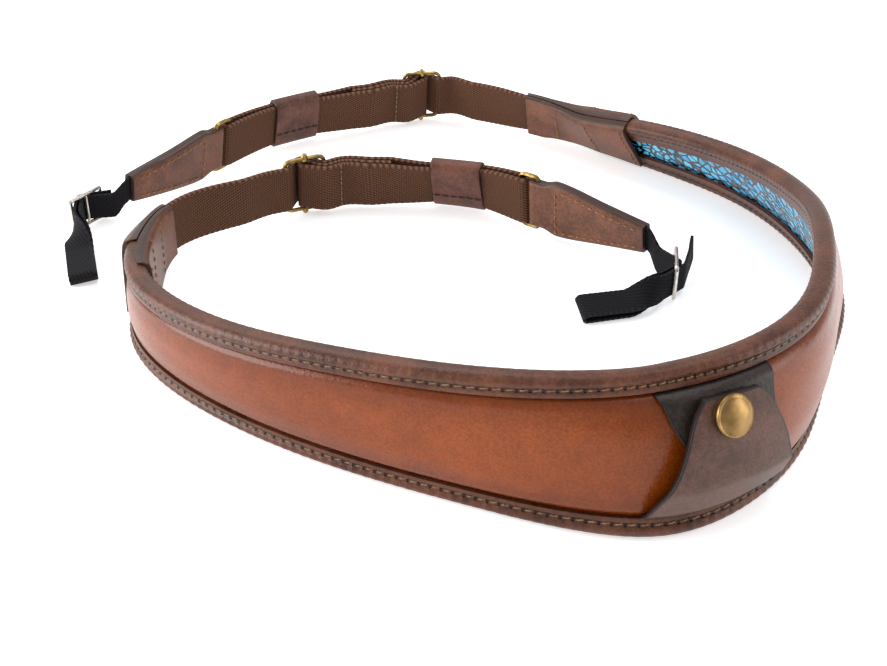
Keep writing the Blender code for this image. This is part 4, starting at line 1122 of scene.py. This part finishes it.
def make_keeper(side):
    """A sleeve from a closed section and a wall with rounded mouths."""
    start = ADJUSTED[side]["keeper"]
    end = start + KEEPER_LENGTH
    wall = KEEPER_LEATHER
    hole = np.array((HALF_STACK, WEBBING_WIDTH / 2.0 + KEEPER_EASE))
    turn = np.linspace(0.0, 2.0 * math.pi, 48, endpoint=False)
    corner = np.stack((np.cos(turn), np.sin(turn)), -1)
    square = np.sign(corner) * np.abs(corner) ** (2.0 / KEEPER_ROUND)
    steps = np.linspace(start + wall * 0.3, end - wall * 0.3, KEEPER_STEPS)
    profile = [(place, wall) for place in steps]
    profile += [(end, wall * 0.7), (end, wall * 0.15)]
    profile += [(place, 0.0) for place in steps[::-1]]
    profile += [(start, wall * 0.15), (start, wall * 0.7)]
    places, out_of = np.array(profile).T
    out_of = out_of[None, :, None]
    spot = square[:, None, :] * hole + corner[:, None, :] * out_of
    spot = np.clip(spot, -hole - out_of, hole + out_of)
    at = np.broadcast_to(places[None, :], spot.shape[:2])
    points = keeper_point(side, at, spot[..., 0], TAIL_CENTRE + spot[..., 1])
    rim = np.where(np.minimum(at - start, end - at) < 0.0003, 1.0, 0.0)
    lengths = {"along_mm": at * MM, "rim": rim}
    faces = tube_faces(len(turn), len(profile), closed=True)
    return add_piece(f"{side}_keeper", points.reshape(-1, 3), faces, KEEPER_LEATHER_FINISH, lengths,
                     [f"keeper_{side}"])


def sew_keeper(side):
    """The dark seam along the keeper, low on the face towards the loop's middle."""
    start = ADJUSTED[side]["keeper"]
    seam = np.arange(start + 0.0020, start + KEEPER_LENGTH - 0.001, KEEPER_SEAM)
    level = np.full_like(seam, -(HALF_STACK + KEEPER_LEATHER))
    ups = np.full_like(seam, TAIL_CENTRE - WEBBING_WIDTH * 0.20)
    spots = keeper_point(side, seam, level, ups)
    aheads = keeper_point(side, seam + SEAM_LOOK, level, ups) - spots
    _, _, out, _ = BAND.frame(TAILS[side](seam))
    row = [(Vector(a), Vector(b).normalized(), -Vector(c)) for a, b, c in zip(spots, aheads, out)]
    sew(f"{side}_keeper_thread", row, *KEEPER_STITCH, SEAM_THREAD, "brown_leather")


for side in TAILS:
    sew_keeper(side)
    make_keeper(side)
print("keepers sit", [places["keeper"] for places in ADJUSTED.values()], "m from their tips")

# %% [markdown]
# The end tabs are two leathers a side, with the end of the webbing and the end of the pad between them. They
# widen from the webbing to the pad, and seams across them hold the stack together. Their upper edges are
# nipped together over the pad's end. At the left end of the pad the outer leather stops just past the end of
# the pad, so that more of the binding shows.

# %% Sizes of the end tabs
TAB_OVERLAP = 0.024
TAB_LEATHER = 0.0018
TAB_INSET = 0.0004
TAB_END = PAD_END + TAB_OVERLAP
TAB_SEAMS = (0.0145, 0.0370, 0.0575)
TAB_COVER = 0.0012
TAB_SLOPE = 0.024
TAB_STITCH = (0.0022, 0.0006, 0.1)
# A seam across keeps these distances from the lower and the upper edge, and the first from a leather's end
TAB_MARGIN = 0.002
TAB_TOP_MARGIN = 0.0015
OUTER_END = {"inner": PAD_END + 0.002, "outer": TAB_END}
OVER_OUTER = HALF_OUTER + BORDER_PUFF + GAP + TAB_LEATHER / 2.0
OVER_INNER = HALF_INNER + BORDER_PUFF / 2.0 + GAP + TAB_LEATHER / 2.0
print("tabs", round((TAB_END - TAB_START) * MM, 1), "mm long")

# %% End tabs
def tab_edges(side, along):
    """Lower and upper edge of a tab, which stays clear of the table where the band leans."""
    share = np.clip((along - TAB_START) / (PAD_END - TAB_START), 0.0, 1.0)
    on_pad = pad_width(PAD_START + np.clip(along - PAD_END, 0.0, None)) - 2.0 * TAB_INSET
    start = WEBBING_WIDTH + 2.0 * TAB_INSET
    width = start + (on_pad - start) * share
    centre = TAIL_CENTRE + (on_pad / 2.0 + TAB_INSET - TAIL_CENTRE) * share
    _, _, out, up = BAND.frame(TAILS[side](along))
    clear = np.clip(out[:, 2] / up[:, 2], 0.0, None) * (OVER_INNER + TAB_LEATHER)
    return np.maximum(centre - width / 2.0, clear), centre + width / 2.0 + TAB_COVER * share


def make_tab_leather(side, layer, sign, over, end):
    """One leather of a tab, on the outer (1) or inner (-1) side, with its seams across."""
    beside = WEBBING_THICKNESS / 2.0 + GAP + TAB_LEATHER / 2.0
    stops = (
        (TAB_START, sign * beside, 0.0),
        (PAD_END - TAB_SLOPE, sign * beside, 0.0),
        (PAD_END, sign * over, 0.0),
        (end, sign * over, 0.0),
    )
    route = np.array(wrap_route(stops, LEATHER_STEP))
    tail_band(f"{side}_tab_{layer}", f"end_tab_{layer}_{side}", side, route, TAB_LEATHER,
              lambda along: tab_edges(side, along), PULL_UP_LEATHER,
              columns=LEATHER_COLUMNS, bevel=EDGE_ROUND, closed=(TAB_LEATHER / 2.0 + MEET, False))
    for number, inset in enumerate(TAB_SEAMS):
        place = TAB_START + inset
        if place > end - TAB_MARGIN:
            continue
        low, high = (edge[0] for edge in tab_edges(side, np.array([place])))
        ups = np.arange(low + TAB_MARGIN, high - TAB_TOP_MARGIN, TIP_STITCH)
        level = abs(float(np.interp(place, route[:, 0], route[:, 1])))
        share = np.clip((ups - (low + high) / 2.0) / ((high - low) / 2.0), 0.0, 1.0)
        nip = (level - TAB_LEATHER / 2.0) * closing(share)
        row = seam_across(TAILS[side](place), ups, sign * (level + TAB_LEATHER / 2.0 - nip), sign)
        sew(f"{side}_tab_thread_{layer}_{number + 1}", row, *TAB_STITCH, TAN_THREAD, "brown_leather")


for side in TAILS:
    make_tab_leather(side, "outer", 1.0, OVER_OUTER, OUTER_END[side])
    make_tab_leather(side, "inner", -1.0, OVER_INNER, TAB_END)
print("four tab leathers")

# %% [markdown]
# ## The pocket
# The small pocket on the pad's outer face is two leathers: a dark one that lies on the panel, and a flap
# over it, held by a snap. Each is a grid over the panel's crown, cut to a curved outline, with a thickness
# and rounded edges. A grid keeps its even mesh where the outline narrows.

# %% Sizes of the pocket
SHEET_GAP = 0.0005
POCKET_PLACE = 0.3990
POCKET_LENGTH = 0.0450
POCKET_LEATHER = 0.0012
FLAP_LEATHER = 0.0018
SNAP_STUD_HEIGHT = 0.0016
FLAP_RISE = 0.27
# Rows up the pad: height, left end and right end, as shares of the panel's height and the pocket's length
UNDER_OUTLINE = (
    (0.30, 0.38, 0.86),
    (0.61, 0.22, 0.87),
    (0.79, 0.14, 0.88),
    (0.92, 0.09, 0.90),
    (1.00, 0.04, 0.92),
)
FLAP_OUTLINE = (
    (0.00, 0.00, 1.00),
    (0.11, 0.04, 0.95),
    (0.21, 0.08, 0.93),
    (0.36, 0.14, 0.89),
    (0.50, 0.18, 0.86),
    (0.64, 0.21, 0.82),
    (0.77, 0.24, 0.78),
    (0.88, 0.29, 0.74),
    (0.95, 0.34, 0.69),
)
POCKET_ROWS = 40
POCKET_COLUMNS = 26
POCKET_START = PAD_START + PAD_LENGTH * POCKET_PLACE
print("pocket", POCKET_LENGTH * MM, "mm long")

# %% Pocket leathers
def pocket_sheet(name, node, outline, leather, lift, material):
    """A sheet over the crown, cut to an outline, with its underside lifted off the panel."""
    share = np.linspace(outline[0][0], outline[-1][0], POCKET_ROWS)[:, None]
    left = POCKET_START + POCKET_LENGTH * smooth_table(outline, share, 1)
    right = POCKET_START + POCKET_LENGTH * smooth_table(outline, share, 2)
    along = left + (right - left) * np.linspace(0.0, 1.0, POCKET_COLUMNS)[None, :]
    up_by = PANEL_FOOT + (pad_width(along) - 2.0 * PANEL_FOOT) * share
    out_by = panel_face(along, up_by) + lift(share)
    under = BAND.point(along, out_by, up_by)
    over = BAND.point(along, out_by + leather, up_by)
    points = np.concatenate((under.reshape(-1, 3), over.reshape(-1, 3)))
    total = POCKET_ROWS * POCKET_COLUMNS
    index = np.arange(total).reshape(POCKET_ROWS, POCKET_COLUMNS)
    quads = np.stack((index[:-1, :-1], index[:-1, 1:], index[1:, 1:], index[1:, :-1]), -1).reshape(-1, 4)
    rim = np.concatenate((index[0, :-1], index[:-1, -1], index[-1, :0:-1], index[:0:-1, 0]))
    after = np.roll(rim, -1)
    wall = np.stack((rim, after, after + total, rim + total), -1)
    faces = np.concatenate((quads, quads + total, wall))
    at_rim = np.zeros(2 * total)
    at_rim[np.concatenate((rim, rim + total))] = 1.0
    lengths = {"along_mm": np.tile(along.ravel() * MM, 2), "rim": at_rim}
    return add_piece(name, points, faces.tolist(), material, lengths, [node], EDGE_ROUND)


def flat_lift(share):
    """The under leather lies on the panel."""
    return np.full_like(share, SHEET_GAP)


def flap_lift(share):
    """The flap rises from the panel at its foot to the height of the snap's stud."""
    held = POCKET_LEATHER + SHEET_GAP + SNAP_STUD_HEIGHT + GAP
    return SHEET_GAP + held * np.minimum(1.0, share / FLAP_RISE)


for name, node, outline, leather, lift, finish in (
    ("pocket_leather", "pocket_under", UNDER_OUTLINE, POCKET_LEATHER, flat_lift, UNDER_LEATHER_FINISH),
    ("flap_leather", "pocket_flap", FLAP_OUTLINE, FLAP_LEATHER, flap_lift, FLAP_LEATHER_FINISH),
):
    sheet = pocket_sheet(name, node, outline, leather, lift, finish)
    print(sheet.name, len(sheet.data.polygons), "faces")

# %% [markdown]
# The snap's cap is a stamped brass button with a low dome and a rolled rim, on a short stem that goes
# through the flap. A profile turned round the snap's axis gives it, finer than the solid it stands for, on
# the same place of the crown. The tilt of the panel there is measured a little below and above the snap.

# %% Snap cap
SNAP_DIAMETER = 0.0134
SNAP_CAP_HEIGHT = 0.0024
SNAP_SEAT = 0.0011
SNAP_ALONG = 0.467
SNAP_UP = 0.78
SNAP_TEST = 0.002
# The real cap is a little smaller than its solid
CAP_DIAMETER = SNAP_DIAMETER * 0.88
# Shares of the half width and of the cap's height: a dome, then a rolled rim, then the stem
CAP_DOME = ((0.0, 1.0), (0.30, 0.97), (0.55, 0.88), (0.75, 0.73), (0.86, 0.60))
CAP_RIM = ((0.90, 0.60), (0.96, 0.62), (1.0, 0.48), (1.0, 0.14), (0.97, 0.02), (0.92, -0.04), (0.90, -0.12),
           (0.90, -0.55))
CAP_SIDES = 64


def make_cap():
    """The button, turned round an axis square to the flap."""
    along = np.array([POCKET_START + POCKET_LENGTH * SNAP_ALONG])
    up_by = PANEL_FOOT + (pad_width(along) - 2.0 * PANEL_FOOT) * SNAP_UP
    rise = panel_face(along, up_by + SNAP_TEST) - panel_face(along, up_by - SNAP_TEST)
    tilt = math.atan(float(rise[0]) / (2.0 * SNAP_TEST))
    _, forward, out, up = [row[0] for row in BAND.frame(along)]
    axis = out * math.cos(tilt) - up * math.sin(tilt)
    aside = up * math.cos(tilt) + out * math.sin(tilt)
    seat = BAND.point(along, panel_face(along, up_by), up_by)[0]
    base = SHEET_GAP + POCKET_LEATHER + SHEET_GAP + SNAP_STUD_HEIGHT + FLAP_LEATHER + SNAP_SEAT
    dome = smooth_curve([(width, height, 0.0) for width, height in CAP_DOME], 12)[1:, :2].tolist()
    points = []
    for width, height in dome + list(CAP_RIM):
        centre = seat + axis * (base + height * SNAP_CAP_HEIGHT)
        for step in range(CAP_SIDES):
            angle = 2.0 * math.pi * step / CAP_SIDES
            flat = forward * math.cos(angle) + aside * math.sin(angle)
            points.append(centre + flat * (width * CAP_DIAMETER / 2.0))
    faces = tube_faces(len(dome) + len(CAP_RIM), CAP_SIDES)
    return add_piece("snap_button", points, faces, AGED_BRASS, {}, ["snap_cap"])


print(make_cap().name, round(CAP_DIAMETER * MM, 1), "mm across")

# %% [markdown]
# ## The lug loops
# A narrow black tape leaves each tip, goes round the middle bar of a small nickel buckle, out to the loop
# that holds the camera's lug, and back over itself. Beyond the buckle the loop rolls over and lies flatter.

# %% Sizes of the lug loops
LUG_INSERT = 0.015
LUG_EXIT = 0.0020
LUG_LEAD = 0.0170
LUG_EYE = 0.0022
LUG_FLAT = 0.62
LUG_TAIL_RISE = 0.004
LUG_BUCKLE_WIRE = 0.0015
LUG_BUCKLE_SLACK = 0.0006
LUG_STEP = 0.00060
LUG_COLUMNS = 7
LUG_BEAD = 0.0019
LUG_SCALLOP = 0.00014
# Angles in degrees from the tip's own direction, and lengths in metres of the loop and of the free end
LUG_SIDES = {
    "inner": {"lead": 17.0, "loop": 94.0, "curl": 30.0, "tail": -115.0, "roll": -72.0, "length": 0.039,
              "free": 0.018},
    "outer": {"lead": -39.0, "loop": 41.0, "curl": 8.0, "tail": 140.0, "roll": -84.0, "length": 0.047,
              "free": 0.010},
}
print("lug loops", [look["length"] * MM for look in LUG_SIDES.values()], "mm long")

# %% Black lug tape
INNER_WRAP = LUG_BUCKLE_WIRE / 2.0 + GAP + LUG_WEBBING_THICKNESS / 2.0
OUTER_WRAP = INNER_WRAP + LUG_WEBBING_THICKNESS + LAYER_GAP
MIDLINE = (INNER_WRAP + OUTER_WRAP) / 2.0
FOLD_ROUND = (LUG_EYE + LUG_WEBBING_THICKNESS) / 2.0
BUCKLE_LEVEL = GAP + (LUG_WEBBING_WIDTH + LUG_BUCKLE_SLACK + 2.0 * LUG_BUCKLE_WIRE) / 2.0
OPENING = min(math.radians(look["loop"] - look["lead"]) / 2.0 for look in LUG_SIDES.values())
BAR_SPACING = (OUTER_WRAP + LUG_WEBBING_THICKNESS / 2.0 + GAP + LUG_BUCKLE_WIRE / 2.0) / math.sin(OPENING)
HELD = BAR_SPACING + LUG_BUCKLE_WIRE


def lug_plan(side):
    """The tape seen from above: x is onward from the tip, y is towards the middle of the strap's loop."""
    look = LUG_SIDES[side]
    lead = math.radians(look["lead"])
    away = math.radians(look["loop"])
    tail = math.radians(look["tail"])
    bar = (LUG_LEAD * math.cos(lead), LUG_LEAD * math.sin(lead))
    ahead = (math.cos(away), math.sin(away))
    beside = (math.sin(away), -math.cos(away))
    fold = [bar[i] + ahead[i] * look["length"] + beside[i] * MIDLINE for i in (0, 1)]
    free_end = (
        bar[0] + look["free"] * math.cos(tail) - OUTER_WRAP * math.sin(tail),
        bar[1] + look["free"] * math.sin(tail) + OUTER_WRAP * math.cos(tail),
    )
    stops = (
        (-LUG_INSERT, 0.0, 0.0),
        (LUG_EXIT, 0.0, 0.0),
        (*bar, INNER_WRAP),
        (*fold, -FOLD_ROUND),
        (*bar, -OUTER_WRAP),
        (*free_end, 0.0),
    )
    return bar, ahead, beside, wrap_route(stops, LUG_STEP, ahead)


def make_lug(side):
    """The tape lies in the band in the tip, stands upright in the buckle and rolls over beyond it."""
    look = LUG_SIDES[side]
    foot, forward, out, up = [Vector(array[0]) for array in BAND.frame(TAILS[side](np.zeros(1)))]
    onward = forward if side == "outer" else -forward
    inward = Vector((-out.x, -out.y, 0.0)).normalized()
    upright = Vector((0.0, 0.0, 1.0))
    tip = foot + up * TAIL_CENTRE
    bar, ahead, beside, route = lug_plan(side)
    left, right = mitred(route, LUG_WEBBING_THICKNESS)
    run = np.concatenate(([0.0], np.cumsum(np.linalg.norm(np.diff(np.array(route), axis=0), axis=1))))
    shares = np.linspace(-1.0, 1.0, LUG_COLUMNS)
    away = math.radians(look["loop"])
    curl = math.radians(look["curl"])
    to_flat = look["length"] * LUG_FLAT - HELD
    bend = to_flat / curl
    rings = []
    past_fold = False
    for point, first, second, place in zip(route, left, right, run):
        scallop = LUG_SCALLOP * (0.5 + 0.5 * math.sin(2.0 * math.pi * place / LUG_BEAD))
        half_width = LUG_WEBBING_WIDTH / 2.0 - scallop
        corners = [(first, share) for share in shares] + [(second, -share) for share in shares]
        if point[0] < 0.0:
            along = TAILS[side](-point[0])
            rings.append([BAND.point(along, -corner[1], TAIL_CENTRE + share * half_width)
                          for corner, share in corners])
            continue
        to_bar = (point[0] - bar[0], point[1] - bar[1])
        reached = to_bar[0] * ahead[0] + to_bar[1] * ahead[1]
        past_fold = past_fold or reached > look["length"] / 2.0
        distance = math.hypot(*to_bar)
        flat_part = float(ease((reached - HELD) / to_flat))
        roll = math.radians(look["roll"]) * flat_part
        heading = away + curl * min(max(reached - HELD, 0.0) / to_flat, 1.0)
        lateral = onward * math.sin(heading) - inward * math.cos(heading)
        free = float(ease((distance - HELD) / (LUG_LEAD - HELD)))
        width_way = (upright + (up - upright) * free).normalized()
        if reached > 0.0:
            layers = (FOLD_ROUND + LUG_WEBBING_THICKNESS / 2.0) * abs(math.sin(roll))
            resting = LUG_WEBBING_WIDTH / 2.0 * math.cos(roll) + layers + GAP
            level = BUCKLE_LEVEL + (resting - BUCKLE_LEVEL) * flat_part
            width_way = upright
        elif past_fold:
            level = BUCKLE_LEVEL + LUG_TAIL_RISE * float(ease((distance - HELD) / look["free"]))
        else:
            level = BUCKLE_LEVEL + (tip.z - BUCKLE_LEVEL) * free
        width_way = width_way * math.cos(roll) + lateral * math.sin(roll)
        thick_way = lateral * math.cos(roll) - upright * math.sin(roll)
        held = min(reached, HELD)
        beyond = max(reached - HELD - to_flat, 0.0)
        bow = (bend * (math.sin(heading) - math.sin(away)), bend * (math.cos(away) - math.cos(heading)))
        bowed = (
            bar[0] + ahead[0] * held + bow[0] + beyond * math.cos(heading),
            bar[1] + ahead[1] * held + bow[1] + beyond * math.sin(heading),
        )
        ring = []
        for corner, share in corners:
            spot = tip + onward * corner[0] + inward * corner[1]
            if reached > 0.0:
                to_corner = (corner[0] - bar[0], corner[1] - bar[1])
                aside = to_corner[0] * beside[0] + to_corner[1] * beside[1]
                extra = to_corner[0] * ahead[0] + to_corner[1] * ahead[1] - reached
                spot = tip + onward * bowed[0] + inward * bowed[1]
                spot += lateral * MIDLINE + thick_way * (aside - MIDLINE)
                spot += (inward * math.sin(heading) + onward * math.cos(heading)) * extra
            spot.z += level - tip.z
            ring.append(spot + width_way * (share * half_width))
        rings.append(ring)
    points = np.array([point[:] for ring in rings for point in ring])
    along = np.repeat(run, 2 * LUG_COLUMNS)
    across = np.tile(np.concatenate((shares, shares[::-1])), len(rings)) * LUG_WEBBING_WIDTH / 2.0
    lengths = {"along_mm": along * MM, "across_mm": across * MM}
    return add_piece(f"{side}_lug_tape", points, tape_faces(len(rings), LUG_COLUMNS), BLACK_WEBBING, lengths,
                     [f"lug_webbing_{side}"])


for side in TAILS:
    tape = make_lug(side)
    print(tape.name, len(tape.data.polygons), "faces")

# %% [markdown]
# ## Table, light and camera
# The strap was photographed on a white sweep in soft daylight, so the table is nearly white and gives off
# a little light of its own, which thins the shadows as the sweep does. Most light comes from a large pale
# dome. Four wide lamps draw the sheen along the leather: a window behind, one above, and a wall at each
# side. The Standard view transform keeps the white of the paper white.

# %% Table
TABLE_SIZE = 60.0
TABLE_GLOW = 0.48
CORNERS = ((-1, -1), (1, -1), (1, 1), (-1, 1))
mesh = bpy.data.meshes.new("table")
mesh.from_pydata([(x * TABLE_SIZE / 2.0, y * TABLE_SIZE / 2.0, 0.0) for x, y in CORNERS], [], [(0, 1, 2, 3)])
TABLE = bpy.data.objects.new("table", mesh)
bpy.context.collection.objects.link(TABLE)
white, tree, shader = new_material("white table paper", Roughness=0.65)
shader.inputs["Base Color"].default_value = linear("#F7F6F7")
shader.inputs["Emission Color"].default_value = linear("#FFFFFF")
shader.inputs["Emission Strength"].default_value = TABLE_GLOW
mesh.materials.append(white)
print("table set,", TABLE_SIZE, "m wide")

# %% Light
DOME_STRENGTH = 0.74
bpy.context.scene.view_settings.view_transform = "Standard"
world = bpy.data.worlds.new("white studio")
bpy.context.scene.world = world
world.use_nodes = True
world.node_tree.nodes["Background"].inputs["Color"].default_value = linear("#FFFFFF")
world.node_tree.nodes["Background"].inputs["Strength"].default_value = DOME_STRENGTH
# Name, place in metres, size in metres, watts
LAMPS = (
    ("window", (-0.5, 0.9, 1.3), 1.1, 8.0),
    ("top", (0.35, 0.15, 1.4), 0.9, 4.5),
    ("left wall", (-0.95, -0.15, 0.24), 0.8, 11.0),
    ("right wall", (0.95, -0.20, 0.28), 0.6, 2.8),
)
for name, place, size, power in LAMPS:
    lamp = bpy.data.lights.new(name, "AREA")
    lamp.shape = "DISK"
    lamp.size = size
    lamp.energy = power
    holder = bpy.data.objects.new(name, lamp)
    holder.location = place
    holder.rotation_euler = (-Vector(place)).to_track_quat("-Z", "Y").to_euler()
    bpy.context.collection.objects.link(holder)
print(len(LAMPS), "lamps")

# %% Camera
# 225 mm above the table, looking down at the strap from in front
# The focal length and the width of the picture are in pixels of the photo
FOCAL = 1250.0
IMAGE_WIDTH = 887.0
LOOK_DOWN = 32.2
CAMERA_BACK = 0.400
CAMERA_HEIGHT = 0.225
camera = bpy.data.cameras.new("camera")
camera.sensor_width = 36.0
camera.lens = FOCAL / IMAGE_WIDTH * camera.sensor_width
camera.clip_start = 0.01
viewer = bpy.data.objects.new("camera", camera)
viewer.location = Vector(STANDS_AT) + Vector((0.0, -CAMERA_BACK, CAMERA_HEIGHT))
viewer.rotation_euler = (math.radians(90.0 - LOOK_DOWN), 0.0, 0.0)
bpy.context.collection.objects.link(viewer)
bpy.context.scene.camera = viewer
print("lens", round(camera.lens, 1), "mm")

# %% Finish
print("the strap is dressed")
